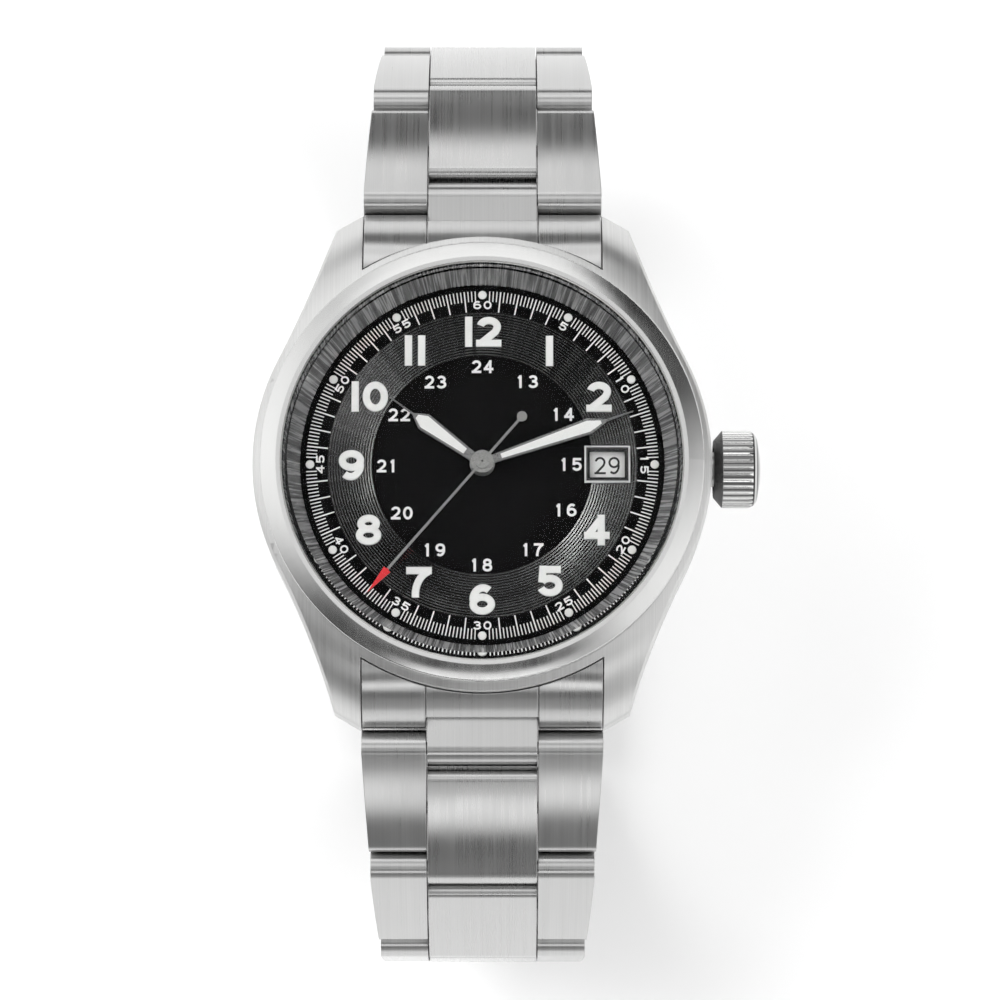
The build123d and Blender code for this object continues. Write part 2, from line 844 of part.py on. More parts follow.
with BuildPart() as cannon_pinion:
    toothed_disc(0, 0, centre_wheel_z, centre_wheel_r, tooth_h, centre_tooth_count, wheel_t)
    toothed_disc(
        0, 0, centre_pinion_z, centre_pinion_r, pinion_tooth_h, pinion_tooth_count, centre_pinion_t
    )
    disc(0, 0, centre_wheel_z, cannon_r, cannon_top_z - centre_wheel_z)
    hole(0, 0, centre_wheel_z, arbor_r + run_clear, cannon_top_z - centre_wheel_z)
cannon_pinion.part.label = "cannon_pinion"

with BuildPart() as hour_wheel:
    toothed_disc(0, 0, hour_wheel_z, hour_wheel_r, tooth_h, hour_tooth_count, wheel_t)
    disc(0, 0, hour_wheel_z, hour_tube_r, hour_tube_top_z - hour_wheel_z)
    hole(0, 0, hour_wheel_z, cannon_r + run_clear, hour_tube_top_z - hour_wheel_z)
hour_wheel.part.label = "hour_wheel"

with BuildPart() as barrel:
    toothed_disc(
        barrel_x, barrel_y, barrel_gear_z, barrel_gear_r, tooth_h, barrel_tooth_count, barrel_gear_t
    )
    disc(barrel_x, barrel_y, barrel_gear_z, barrel_drum_r, barrel_top_z - barrel_gear_z)
    drum_floor_z = barrel_gear_z + barrel_gear_t
    hole(barrel_x, barrel_y, drum_floor_z, barrel_drum_r - barrel_wall, barrel_top_z - drum_floor_z)
    disc(barrel_x, barrel_y, train_low_z, barrel_arbor_r, train_high_z - train_low_z)
    with BuildSketch(Plane(origin=(barrel_x, barrel_y, drum_floor_z + mainspring_gap))):
        spiral_ribbon(mainspring_inner_r, mainspring_pitch, mainspring_half_turn_count, mainspring_t)
    extrude(amount=barrel_top_z - drum_floor_z - 2 * mainspring_gap)
barrel.part.label = "barrel"

with BuildPart() as escape_wheel:
    toothed_disc(
        escape_x, escape_y, escape_wheel_z, escape_wheel_r, escape_tooth_h, escape_tooth_count, wheel_t
    )
    toothed_disc(
        escape_x,
        escape_y,
        fourth_wheel_z,
        escape_pinion_r,
        pinion_tooth_h,
        escape_pinion_tooth_count,
        pinion_t,
    )
    arbor(escape_x, escape_y, train_high_z)
escape_wheel.part.label = "escape_wheel"

escapement_plane = Plane(origin=(pallet_x, pallet_y, escape_wheel_z), x_dir=(*polar(1, cock_deg), 0))

with BuildPart() as pallet_fork:
    lever_end = balance_reach - pallet_reach - roller_r - fork_gap - pallet_lever_w / 2
    with BuildSketch(escapement_plane):
        with Locations((lever_end / 2, 0)):
            Rectangle(lever_end, pallet_lever_w)
        Rectangle(pallet_lever_w, 2 * pallet_span + pallet_lever_w)
        with Locations((-pallet_tip / 2, pallet_span), (-pallet_tip / 2, -pallet_span)):
            Rectangle(pallet_tip, pallet_lever_w)
        with Locations((lever_end, 0)):
            Circle(pallet_lever_w / 2)
    extrude(amount=pallet_t)
    arbor(pallet_x, pallet_y, balance_z - tip_gap)
pallet_fork.part.label = "pallet_fork"

with BuildPart() as balance_wheel:
    with BuildSketch(Plane.XY.offset(balance_z)):
        with Locations((balance_x, balance_y)):
            Circle(balance_r)
            Circle(balance_r - balance_rim_w, mode=Mode.SUBTRACT)
            Rectangle(2 * balance_r - balance_rim_w, balance_arm_w)
    extrude(amount=balance_t)
    disc(balance_x, balance_y, escape_wheel_z, roller_r, pallet_t)
    arbor(balance_x, balance_y, train_high_z)
balance_wheel.part.label = "balance_wheel"

with BuildPart() as hairspring:
    with BuildSketch(Plane(origin=(balance_x, balance_y, hairspring_z))):
        spiral_ribbon(hairspring_inner_r, hairspring_pitch, hairspring_half_turn_count, hairspring_t)
        Circle(hairspring_inner_r)
        Circle(arbor_r + press_clear, mode=Mode.SUBTRACT)
    extrude(amount=hairspring_h)
hairspring.part.label = "hairspring"

with BuildPart() as date_ring:
    with BuildSketch(Plane.XY.offset(date_z)):
        Circle(date_outer_r)
        gear(date_inner_r, date_tooth_h, date_tooth_count, mode=Mode.SUBTRACT)
    extrude(amount=date_t)
date_ring.part.label = "date_ring"

with BuildPart() as rotor:
    with BuildSketch(Plane.XY.offset(rotor_z)):
        Circle(rotor_r)
        Circle(rotor_r - rotor_rim_w, mode=Mode.SUBTRACT)
        with Locations((0, rotor_r / 2)):
            Rectangle(2 * rotor_r, rotor_r, mode=Mode.SUBTRACT)
    extrude(amount=rotor_top_z - rotor_z)
    with BuildSketch(Plane.XY.offset(rotor_web_z)):
        Circle(rotor_r - rotor_rim_w / 2)
        with Locations((0, rotor_r / 2)):
            Rectangle(2 * rotor_r, rotor_r, mode=Mode.SUBTRACT)
    extrude(amount=rotor_web_t)
    disc(0, 0, rotor_z + seat_clear, rotor_hub_r, rotor_top_z - rotor_z - seat_clear)
    hole(0, 0, rotor_z, post_r + run_clear, rotor_top_z - rotor_z)
rotor.part.label = "rotor"


# Hands
def hand_plane(z, clock_deg):
    """A plane at height z whose first axis points where the hand points, from 12 clockwise."""
    direction = (sin(radians(clock_deg)), cos(radians(clock_deg)), 0)
    return Plane(origin=(0, 0, z), x_dir=direction, z_dir=(0, 0, 1))


def blade_outline(hub_r, neck_w, wide_r, wide_w, needle_start_r, tip_r):
    """A hand that widens from its hub and ends in a needle, drawn in the sketch that is open."""
    upper = [
        (0, neck_w / 2),
        (hub_r, neck_w / 2),
        (wide_r, wide_w / 2),
        (needle_start_r, needle_w / 2),
        (tip_r, needle_tip_w / 2),
    ]
    lower = [(x, -y) for x, y in reversed(upper)]
    with BuildLine() as outline:
        Polyline(*upper, *lower, close=True)
    make_face(outline.edges())
    Circle(hub_r)


with BuildPart() as hour_hand:
    with BuildSketch(hand_plane(hour_hand_z, hour_hand_deg)):
        blade_outline(hour_hub_r, hour_neck_w, hour_wide_r, hour_wide_w, hour_needle_r, hour_tip_r)
        Circle(hour_tube_r + press_clear, mode=Mode.SUBTRACT)
    extrude(amount=hand_t)
hour_hand.part.label = "hour_hand"

with BuildPart() as minute_hand:
    with BuildSketch(hand_plane(minute_hand_z, minute_hand_deg)):
        blade_outline(
            minute_hub_r, minute_neck_w, minute_wide_r, minute_wide_w, minute_needle_r, minute_tip_r
        )
        Circle(cannon_r + press_clear, mode=Mode.SUBTRACT)
    extrude(amount=hand_t)
minute_hand.part.label = "minute_hand"

with BuildPart() as second_hand:
    with BuildSketch(hand_plane(second_hand_z, second_hand_deg)):
        with BuildLine():
            Polyline(
                (-second_tail_len, second_w / 2),
                (second_flare_r, second_w / 2),
                (second_flare_r, second_flare_w / 2),
                (second_tip_r, 0),
                (second_flare_r, -second_flare_w / 2),
                (second_flare_r, -second_w / 2),
                (-second_tail_len, -second_w / 2),
                close=True,
            )
        make_face()
        Circle(second_hub_r)
        with Locations((-second_tail_len, 0)):
            Circle(second_paddle_r)
        Circle(arbor_r + press_clear, mode=Mode.SUBTRACT)
    extrude(amount=hand_t)
    disc(0, 0, second_hand_z + hand_t, second_cap_r, second_cap_h)
second_hand.part.label = "second_hand"

# End links with their centre tongues, and the spring bars


def end_link(sign):
    """The solid link between two lugs, with the tongue that the first row turns on."""
    plane = side_plane(sign)
    half_w = lug_gap / 2 - end_link_clear
    centre_end = lug_tip_y - end_link_step
    with BuildPart() as piece:
        with BuildSketch(plane) as profile:
            with BuildLine():
                TangentArc((end_link_top_y, end_link_top_z), (lug_tip_y, end_link_tip_z), tangent=(1, 0))
                Polyline(
                    (lug_tip_y, end_link_tip_z),
                    (lug_tip_y, end_link_bottom_z),
                    (end_link_in_y, end_link_bottom_z),
                    (end_link_in_y, end_link_top_z),
                    (end_link_top_y, end_link_top_z),
                )
            make_face()
            fillet(profile.vertices().sort_by(Axis.X)[-2:], end_link_round)
        extrude(amount=half_w, both=True)
        with BuildSketch(plane):
            with Locations((lug_tip_y, first_pivot_z)):
                Rectangle(2 * end_link_step, 2 * link_t)
        extrude(amount=centre_w / 2 + side_clear, both=True, mode=Mode.SUBTRACT)
        with BuildSketch(plane):
            with Locations(((centre_end + first_pivot_y) / 2 - end_link_step, first_pivot_z)):
                Rectangle(first_pivot_y - centre_end + 2 * end_link_step, link_t)
            with Locations((first_pivot_y, first_pivot_z)):
                Circle(half_t)
        extrude(amount=centre_w / 2, both=True)
        for side in (1, -1):
            with BuildSketch(plane.offset(side * (centre_w / 2 + side_clear) - seam_w / 2)):
                add(profile.face())
                offset(amount=-seam_depth, mode=Mode.SUBTRACT)
            extrude(amount=seam_w, mode=Mode.SUBTRACT)
        with BuildSketch(plane):
            with Locations((first_pivot_y, first_pivot_z)):
                Circle(pin_r + run_clear)
            with Locations((bar_y, bar_z)):
                Circle(bar_r + press_clear)
        extrude(amount=lug_gap, both=True, mode=Mode.SUBTRACT)
        with BuildSketch(Plane.XY):
            Circle(lug_floor_r)
        extrude(amount=case_top_z, mode=Mode.SUBTRACT)
    return piece.part


with BuildPart() as end_link_12:
    add(end_link(1))
end_link_12.part.label = "end_link_12"

with BuildPart() as end_link_6:
    add(end_link(-1))
end_link_6.part.label = "end_link_6"

with BuildPart() as spring_bars:
    for sign in (1, -1):
        with BuildSketch(side_plane(sign)):
            with Locations((bar_y, bar_z)):
                Circle(bar_r)
        extrude(amount=lug_gap / 2 - end_link_clear, both=True)
        with BuildSketch(side_plane(sign)):
            with Locations((bar_y, bar_z)):
                Circle(bar_tip_r)
        extrude(amount=lug_gap / 2 + bar_tip_len, both=True)
spring_bars.part.label = "spring_bars"


# Bracelet rows
def plate_outline(start, end, round_start, round_end):
    """A link's side view: a slightly crowned plate whose ends are half round or square with soft corners."""
    middle = (start + end) / 2
    with BuildLine() as outline:
        ThreePointArc((start, half_t), (middle, half_t + link_crown), (end, half_t))
        if round_end:
            ThreePointArc((end, half_t), (end + half_t, 0), (end, -half_t))
        else:
            Line((end, half_t), (end, -half_t))
        Line((end, -half_t), (start, -half_t))
        if round_start:
            ThreePointArc((start, -half_t), (start - half_t, 0), (start, half_t))
        else:
            Line((start, -half_t), (start, half_t))
    make_face(outline.edges())


def side_links(sign, index):
    """Two side plates of a row with the pin it turns on and the pin that holds its centre link."""
    plane = row_plane(sign, index)
    last = index == row_count - 1
    inner = centre_w / 2 + side_clear
    half_start = band_width(index) / 2
    half_end = band_width(index + 1) / 2
    end = link_pitch if last else side_end
    with BuildPart() as row:
        with BuildSketch(plane) as profile:
            plate_outline(0, end, True, last)
            if not last:
                fillet(profile.vertices().sort_by_distance((end, 0, 0))[:2], link_round)
            with Locations((0, 0), (link_pitch / 2, 0)):
                Circle(pin_r + press_clear, mode=Mode.SUBTRACT)
            if last:
                with Locations((link_pitch, 0)):
                    Circle(pin_r + run_clear, mode=Mode.SUBTRACT)
        extrude(amount=half_start, both=True)
        plan = Plane(origin=plane.origin, x_dir=plane.x_dir, z_dir=plane.y_dir)
        with BuildSketch(plan.offset(-link_t)):
            for side in (1, -1):
                with BuildLine():
                    Polyline(
                        (-link_t, side * inner),
                        (-link_t, side * half_start),
                        (0, side * half_start),
                        (link_pitch, side * half_end),
                        (link_pitch + link_t, side * half_end),
                        (link_pitch + link_t, side * inner),
                        close=True,
                    )
                make_face()
        extrude(amount=2 * link_t, mode=Mode.INTERSECT)
        with BuildSketch(plane):
            with Locations((0, 0), (link_pitch / 2, 0)):
                Circle(pin_r)
        extrude(amount=half_end - pin_inset, both=True)
    return row.part


def centre_link(sign, index):
    """The centre link of a row: it starts behind the last tongue and ends in a tongue of its own."""
    plane = row_plane(sign, index)
    last = index == row_count - 1
    end = side_end if last else link_pitch
    with BuildPart() as link:
        with BuildSketch(plane) as profile:
            plate_outline(centre_start, end, False, not last)
            square = [(centre_start, 0, 0)]
            if last:
                square.append((end, 0, 0))
            corners = ShapeList()
            for place in square:
                corners += profile.vertices().sort_by_distance(place)[:2]
            fillet(corners, link_round)
            with Locations((link_pitch / 2, 0)):
                Circle(pin_r + press_clear, mode=Mode.SUBTRACT)
            if not last:
                with Locations((link_pitch, 0)):
                    Circle(pin_r + run_clear, mode=Mode.SUBTRACT)
        extrude(amount=centre_w / 2, both=True)
    return link.part


rows = {}
for sign, clock in ((1, "12"), (-1, "6")):
    for index in range(row_count):
        with BuildPart() as side_pair:
            add(side_links(sign, index))
        side_pair.part.label = f"side_links_{clock}_{index + 1}"
        with BuildPart() as middle_link:
            add(centre_link(sign, index))
        middle_link.part.label = f"center_link_{clock}_{index + 1}"
        rows[side_pair.part.label] = side_pair
        rows[middle_link.part.label] = middle_link

# Folding clasp: two blades folded over each other inside a cover
inner_pin_z = clasp_z - blade_t / 2 - blade_gap / 2
outer_top_z = clasp_z - blade_t / 2 - blade_gap
outer_pin_z = outer_top_z - hinge_r
cover_floor_z = outer_top_z - blade_t - blade_gap
cover_low_z = cover_floor_z - cover_floor_t
cover_high_z = clasp_z + cover_lip


def hinge_barrel(y, z, radius, from_x, to_x, mode=Mode.ADD):
    """A round bar along X, added to or cut from the part that is open."""
    with BuildSketch(Plane(origin=(from_x, y, z), z_dir=(1, 0, 0))) as base:
        Circle(radius)
    extrude(base.sketch, amount=to_x - from_x, mode=mode)


def box_between(low, high, mode=Mode.ADD):
    """A box between two corners, added to or cut from the part that is open."""
    with BuildSketch(Plane.XY.offset(low[2])) as base:
        with Locations(((low[0] + high[0]) / 2, (low[1] + high[1]) / 2)):
            Rectangle(high[0] - low[0], high[1] - low[1])
    extrude(base.sketch, amount=high[2] - low[2], mode=mode)


with BuildPart() as clasp_blade_inner:
    box_between(
        (-blade_half_w, -fold_inner_y, clasp_z - blade_t / 2), (blade_half_w, clasp_y, clasp_z + blade_t / 2)
    )
    for from_x in (-blade_half_w, hinge_mid_half_w):
        box_between(
            (from_x - seat_clear, -fold_inner_y - hinge_r, clasp_z - blade_t / 2),
            (from_x + hinge_side_w + seat_clear, -fold_inner_y + hinge_r + seat_clear, clasp_z + blade_t / 2),
            mode=Mode.SUBTRACT,
        )
    hinge_barrel(clasp_y, clasp_z, knuckle_r, -knuckle_half_w, knuckle_half_w)
    hinge_barrel(-fold_inner_y, inner_pin_z, hinge_r, -hinge_mid_half_w, hinge_mid_half_w)
    hinge_barrel(clasp_y, clasp_z, pin_r + press_clear, -blade_half_w, blade_half_w, Mode.SUBTRACT)
    hinge_barrel(
        -fold_inner_y, inner_pin_z, hinge_pin_r + run_clear, -blade_half_w, blade_half_w, Mode.SUBTRACT
    )
    hinge_barrel(clasp_y, clasp_z, pin_r, pin_inset - band_w_clasp / 2, band_w_clasp / 2 - pin_inset)
clasp_blade_inner.part.label = "clasp_blade_inner"

with BuildPart() as clasp_blade_outer:
    box_between(
        (-blade_half_w, -fold_inner_y, outer_top_z - blade_t), (blade_half_w, fold_outer_y, outer_top_z)
    )
    box_between(
        (-hinge_mid_half_w - seat_clear, -fold_inner_y - hinge_r, outer_top_z - blade_t),
        (hinge_mid_half_w + seat_clear, -fold_inner_y + hinge_r + seat_clear, outer_top_z),
        mode=Mode.SUBTRACT,
    )
    for from_x, to_x in (
        (-blade_half_w, -hinge_mid_half_w - seat_clear),
        (hinge_mid_half_w + seat_clear, blade_half_w),
    ):
        hinge_barrel(-fold_inner_y, inner_pin_z, hinge_r, from_x, to_x)
    hinge_barrel(fold_outer_y, outer_pin_z, hinge_r, -blade_half_w, blade_half_w)
    hinge_barrel(
        -fold_inner_y, inner_pin_z, hinge_pin_r + press_clear, -blade_half_w, blade_half_w, Mode.SUBTRACT
    )
    hinge_barrel(
        fold_outer_y, outer_pin_z, hinge_pin_r + run_clear, -blade_half_w, blade_half_w, Mode.SUBTRACT
    )
    hinge_barrel(-fold_inner_y, inner_pin_z, hinge_pin_r, -blade_half_w, blade_half_w)
clasp_blade_outer.part.label = "clasp_blade_outer"

notch_half_w = blade_half_w + notch_clear
cover_inner_w = cover_half_w - cover_wall
button_z = clasp_z - button_drop

with BuildPart() as clasp_cover:
    box_between((-cover_half_w, -cover_half_len, cover_low_z), (cover_half_w, cover_half_len, cover_high_z))
    fillet(clasp_cover.edges().filter_by(Axis.Y).group_by(Axis.Z)[0], cover_round)
    box_between(
        (-cover_inner_w, cover_wall - cover_half_len, cover_floor_z),
        (cover_inner_w, cover_half_len + cover_wall, cover_high_z + cover_wall),
        mode=Mode.SUBTRACT,
    )
    for from_x, to_x in ((-cover_inner_w, -notch_half_w), (notch_half_w, cover_inner_w)):
        hinge_barrel(fold_outer_y, outer_pin_z, hinge_r, from_x, to_x)
    box_between(
        (-notch_half_w, notch_in_y, cover_low_z - cover_wall),
        (notch_half_w, cover_half_len + cover_wall, cover_high_z),
        mode=Mode.SUBTRACT,
    )
    hinge_barrel(-clasp_y, clasp_z, knuckle_r, -knuckle_half_w, knuckle_half_w)
    box_between(
        (-knuckle_half_w, -clasp_y, clasp_z - knuckle_r / 2),
        (knuckle_half_w, cover_wall - cover_half_len, clasp_z + knuckle_r / 2),
    )
    hinge_barrel(-clasp_y, clasp_z, pin_r + press_clear, -knuckle_half_w, knuckle_half_w, Mode.SUBTRACT)
    hinge_barrel(
        fold_outer_y, outer_pin_z, hinge_pin_r + press_clear, -cover_inner_w, cover_inner_w, Mode.SUBTRACT
    )
    hinge_barrel(
        button_y, button_z, button_r + run_clear, -cover_half_w, cover_half_w, Mode.SUBTRACT
    )
    hinge_barrel(-clasp_y, clasp_z, pin_r, -knuckle_half_w, knuckle_half_w)
    hinge_barrel(
        fold_outer_y, outer_pin_z, hinge_pin_r, pin_inset - cover_inner_w, cover_inner_w - pin_inset
    )
clasp_cover.part.label = "clasp_cover"


def push_button(sign):
    """A round push button through the cover's side wall, with the collar that keeps it in."""
    inner_x = sign * (cover_inner_w - seat_clear)
    collar_x = inner_x - sign * button_collar_w
    outer_x = sign * (cover_half_w + button_proud)
    with BuildPart() as button:
        hinge_barrel(button_y, button_z, button_collar_r, min(inner_x, collar_x), max(inner_x, collar_x))
        hinge_barrel(button_y, button_z, button_r, min(inner_x, outer_x), max(inner_x, outer_x))
    return button.part


with BuildPart() as clasp_button_right:
    add(push_button(1))
clasp_button_right.part.label = "clasp_button_right"

with BuildPart() as clasp_button_left:
    add(push_button(-1))
clasp_button_left.part.label = "clasp_button_left"

pieces = [
    case_middle, bezel, crystal, crystal_gasket, flange_ring, dial, date_frame, case_back,
    case_back_gasket, crown_tube, crown, crown_gasket, winding_stem, sliding_pinion, movement_ring,
    main_plate, train_bridge, balance_cock, fourth_wheel, third_wheel, cannon_pinion, hour_wheel,
    barrel, escape_wheel, pallet_fork, balance_wheel, hairspring, date_ring, rotor, hour_hand,
    minute_hand, second_hand, end_link_12, end_link_6, spring_bars, *rows.values(), clasp_blade_inner,
    clasp_blade_outer, clasp_cover, clasp_button_right, clasp_button_left,
]

os.makedirs("parts", exist_ok=True)
for piece in pieces:
    export_step(piece.part, f"parts/{piece.part.label}.step")
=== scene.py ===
"""Looks of the field watch: dial printing, luminous paint, metals, glass, camera and light."""
from math import cos, pi, radians, sin

import bpy
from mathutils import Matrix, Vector


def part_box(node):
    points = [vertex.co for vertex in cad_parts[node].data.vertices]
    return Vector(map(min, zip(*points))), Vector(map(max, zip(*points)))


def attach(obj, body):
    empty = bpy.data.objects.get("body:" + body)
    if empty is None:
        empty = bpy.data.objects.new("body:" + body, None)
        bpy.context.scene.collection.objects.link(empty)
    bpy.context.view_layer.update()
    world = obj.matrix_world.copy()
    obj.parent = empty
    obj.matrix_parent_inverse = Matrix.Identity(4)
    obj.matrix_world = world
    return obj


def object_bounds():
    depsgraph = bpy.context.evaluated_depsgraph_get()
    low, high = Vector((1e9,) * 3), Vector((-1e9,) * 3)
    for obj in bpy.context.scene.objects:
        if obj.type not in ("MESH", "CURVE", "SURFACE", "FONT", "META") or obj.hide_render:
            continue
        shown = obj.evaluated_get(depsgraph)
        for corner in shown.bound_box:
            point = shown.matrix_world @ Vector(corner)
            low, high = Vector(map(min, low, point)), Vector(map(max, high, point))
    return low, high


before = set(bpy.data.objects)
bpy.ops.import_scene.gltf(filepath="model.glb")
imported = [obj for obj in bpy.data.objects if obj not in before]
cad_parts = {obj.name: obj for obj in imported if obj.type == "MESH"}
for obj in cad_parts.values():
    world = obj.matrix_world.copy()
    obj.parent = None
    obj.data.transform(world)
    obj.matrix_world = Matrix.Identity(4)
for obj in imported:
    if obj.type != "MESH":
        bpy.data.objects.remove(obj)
cad_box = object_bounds()

MM = 0.001

# Sizes in millimetres that materials and printing share
GROOVE_INNER_R, GROOVE_OUTER_R, GROOVE_PITCH, GROOVE_SLOPE = 9.14, 12.84, 0.23, 0.7
DATE_R = 10.35
DATE_FRAME_HALF_W, DATE_FRAME_HALF_H, DATE_FRAME_RIM = 1.9, 1.55, 0.145
RED_TIP_R, PIVOT_DIMPLE_R = 11.82, 0.08
CROWN_CONE_L, CROWN_ROOT_R, CROWN_RIDGE_R = 0.7, 3.02, 3.1
# Where the crown's painted shade line and painted shade band lie, as distances along it
CROWN_SHADE_LINE_L, CROWN_RIM_SHADE_L = (3.2, 3.35), (3.52, 3.72)
MINUTE_LONG_R, MINUTE_SHORT_R, MINUTE_OUTER_R = 12.87, 13.72, 14.6
MINUTE_NUMBER_R, MINUTE_DOT_R, MINUTE_DOT_SIZE = 13.43, 14.28, 0.36


# Meshes
def new_object(name, vertices, faces, body, material):
    """A mesh object from points in millimetres, riding on a body."""
    mesh = bpy.data.meshes.new(name)
    mesh.from_pydata([(x * MM, y * MM, z * MM) for x, y, z in vertices], [], faces)
    mesh.materials.append(material)
    mesh.update()
    piece = bpy.data.objects.new(name, mesh)
    bpy.context.scene.collection.objects.link(piece)
    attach(piece, body)
    return piece


class Plates:
    """Flat raised shapes, gathered into one mesh."""

    def __init__(self, low, high):
        self.low = low
        self.high = high
        self.vertices = []
        self.faces = []

    def strip(self, left, right, closed=False, lift=0.0, slope=0.0):
        """A raised ribbon between two rows of points, with sloped sides."""
        n = len(left)
        base = len(self.vertices)
        top = self.high + lift
        for a, b in zip(left, right):
            across = (Vector(b) - Vector(a)).normalized() * slope
            inner_a = Vector(a) + across
            inner_b = Vector(b) - across
            self.vertices += [(a[0], a[1], self.low), (inner_a.x, inner_a.y, top),
                              (inner_b.x, inner_b.y, top), (b[0], b[1], self.low)]
        for i in range(n if closed else n - 1):
            p = base + 4 * i
            q = base + 4 * ((i + 1) % n)
            for k in range(3):
                self.faces.append((p + k, q + k, q + k + 1, p + k + 1))
        if not closed:
            p = base
            q = base + 4 * (n - 1)
            self.faces += [(p, p + 1, p + 2, p + 3), (q + 3, q + 2, q + 1, q)]

    def outline(self, points, slope=0.0):
        """A raised plate inside a closed row of points."""
        n = len(points)
        base = len(self.vertices)
        middle = sum((Vector(p) for p in points), Vector((0, 0))) / n
        for p in points:
            towards = middle - Vector(p)
            inner = Vector(p) + towards.normalized() * min(slope, towards.length / 2)
            self.vertices += [(p[0], p[1], self.low), (inner.x, inner.y, self.high)]
        for i in range(n):
            p = base + 2 * i
            q = base + 2 * ((i + 1) % n)
            self.faces.append((p, q, q + 1, p + 1))
        self.faces.append(tuple(base + 2 * i + 1 for i in range(n)))


# Digits as pen strokes. Each stroke is a row of lines and arcs for the pen's middle, in a box of width 1
# and height 1, cut off at the digit's outer size: ("line", x0, y0, x1, y1) or
# ("arc", middle x, middle y, radius x, radius y, start angle, end angle).
STROKE_SHARES = {
    "0": [[("arc", 0.5, 0.5, 0.5, 0.5, 90, -270)]],
    "1": [[("line", 0.42, 1.2, 0.42, -0.2)], [("line", 0.42, 1.0, 0.12, 0.8)]],
    "2": [[("arc", 0.5, 0.72, 0.47, 0.28, 168, -28), ("line", 0.86, 0.5, -0.06, -0.08)],
          [("line", -0.3, 0.0, 1.2, 0.0)]],
    "3": [
        [("arc", 0.48, 0.765, 0.44, 0.235, 160, -88)],
        [("line", 0.36, 0.53, 0.5, 0.53), ("arc", 0.48, 0.265, 0.52, 0.265, 86, -160)],
    ],
    "4": [[("line", 0.74, 1.2, 0.74, -0.2)], [("line", 0.8, 1.06, 0.0, 0.27)],
          [("line", -0.3, 0.27, 1.2, 0.27)]],
    "5": [[("line", 0.14, 1.2, 0.06, 0.44)], [("line", 0.1, 1.0, 1.1, 1.0)],
          [("arc", 0.49, 0.31, 0.51, 0.31, 148, -158)]],
    "6": [[("arc", 0.54, 0.5, 0.54, 0.5, 52, 186)], [("arc", 0.5, 0.3, 0.5, 0.3, 90, -270)]],
    "7": [[("line", -0.3, 1.0, 1.2, 1.0)], [("arc", 1.3, -0.06, 1.0, 1.06, 107, 192)]],
    "8": [[("arc", 0.5, 0.765, 0.42, 0.235, 90, -270)], [("arc", 0.5, 0.27, 0.5, 0.27, 90, -270)]],
    "9": [[("arc", 0.46, 0.5, 0.54, 0.5, -128, 6)], [("arc", 0.5, 0.7, 0.5, 0.3, 90, -270)]],
}
LINE_PARTS = 8
ARC_STEP_DEG = 9


def stroke_points(stroke, width, height, pen):
    """The pen's path of one stroke for a digit of a given outer size."""
    inner_w = width - pen
    inner_h = height - pen
    path = []
    for piece in stroke:
        if piece[0] == "line":
            x0, y0, x1, y1 = piece[1:]
            shares = [k / LINE_PARTS for k in range(LINE_PARTS + 1)]
            run = [(x0 + (x1 - x0) * share, y0 + (y1 - y0) * share) for share in shares]
        else:
            x, y, rx, ry, start, end = piece[1:]
            steps = max(4, int(abs(end - start) / ARC_STEP_DEG))
            run = []
            for k in range(steps + 1):
                angle = radians(start + (end - start) * k / steps)
                run.append((x + rx * cos(angle), y + ry * sin(angle)))
        for x, y in run:
            point = (pen / 2 + x * inner_w, pen / 2 + y * inner_h)
            if not path or (Vector(point) - Vector(path[-1])).length > pen * 0.02:
                path.append(point)
    return path


def ribbon(path, pen, closed):
    """The two edges of a pen stroke, mitred at its corners."""
    left, right = [], []
    n = len(path)
    for i, point in enumerate(path):
        here = Vector(point)
        before = Vector(path[i - 1]) if i or closed else None
        after = Vector(path[(i + 1) % n]) if i < n - 1 or closed else None
        ways = []
        if before is not None:
            ways.append((here - before).normalized())
        if after is not None:
            ways.append((after - here).normalized())
        way = (ways[0] + ways[-1]).normalized()
        side = Vector((-way.y, way.x))
        stretch = 1 / max(0.45, side.dot(Vector((-ways[0].y, ways[0].x))))
        left.append(tuple(here + side * pen / 2 * stretch))
        right.append(tuple(here - side * pen / 2 * stretch))
    return left, right


def write_number(plates, text, centre, height, digit_w, pen, gap, turn=0.0, bar_one=False, slope=0.0):
    """Digits in a row, centred on a place of the dial and turned clockwise. bar_one draws a 1 as a bar."""
    widths = []
    for digit in text:
        widths.append(pen if bar_one and digit == "1" else digit_w)
    total = sum(widths) + gap * (len(text) - 1)
    x = -total / 2
    spin = -radians(turn)
    for digit, width in zip(text, widths):
        strokes = [None] if bar_one and digit == "1" else STROKE_SHARES[digit]
        for order, stroke in enumerate(strokes):
            if stroke:
                path = stroke_points(stroke, width, height, pen)
            else:
                path = [(pen / 2, height), (pen / 2, 0)]
            closed = len(path) > 12 and (Vector(path[0]) - Vector(path[-1])).length < pen * 0.1
            if closed:
                path = path[:-1]
            placed = []
            for row in ribbon(path, pen, closed):
                held = [(min(max(px, 0), width), min(max(py, 0), height)) for px, py in row]
                placed.append([
                    (
                        centre[0] + (px + x) * cos(spin) - (py - height / 2) * sin(spin),
                        centre[1] + (px + x) * sin(spin) + (py - height / 2) * cos(spin),
                    )
                    for px, py in held
                ])
            plates.strip(placed[0], placed[1], closed, lift=0.003 * order, slope=slope)
        x += width + gap


def clock(radius, minutes):
    """A place on the dial from a radius and a minute of the hour."""
    angle = radians(6 * minutes)
    return (radius * sin(angle), radius * cos(angle))


# Nodes
def add_node(tree, kind, inputs=None, **settings):
    """A shader node with its settings, its inputs linked to sockets or set to values."""
    node = tree.nodes.new("ShaderNode" + kind)
    for key, value in settings.items():
        setattr(node, key, value)
    for key, value in (inputs or {}).items():
        if isinstance(value, bpy.types.NodeSocket):
            tree.links.new(value, node.inputs[key])
        else:
            node.inputs[key].default_value = value
    return node


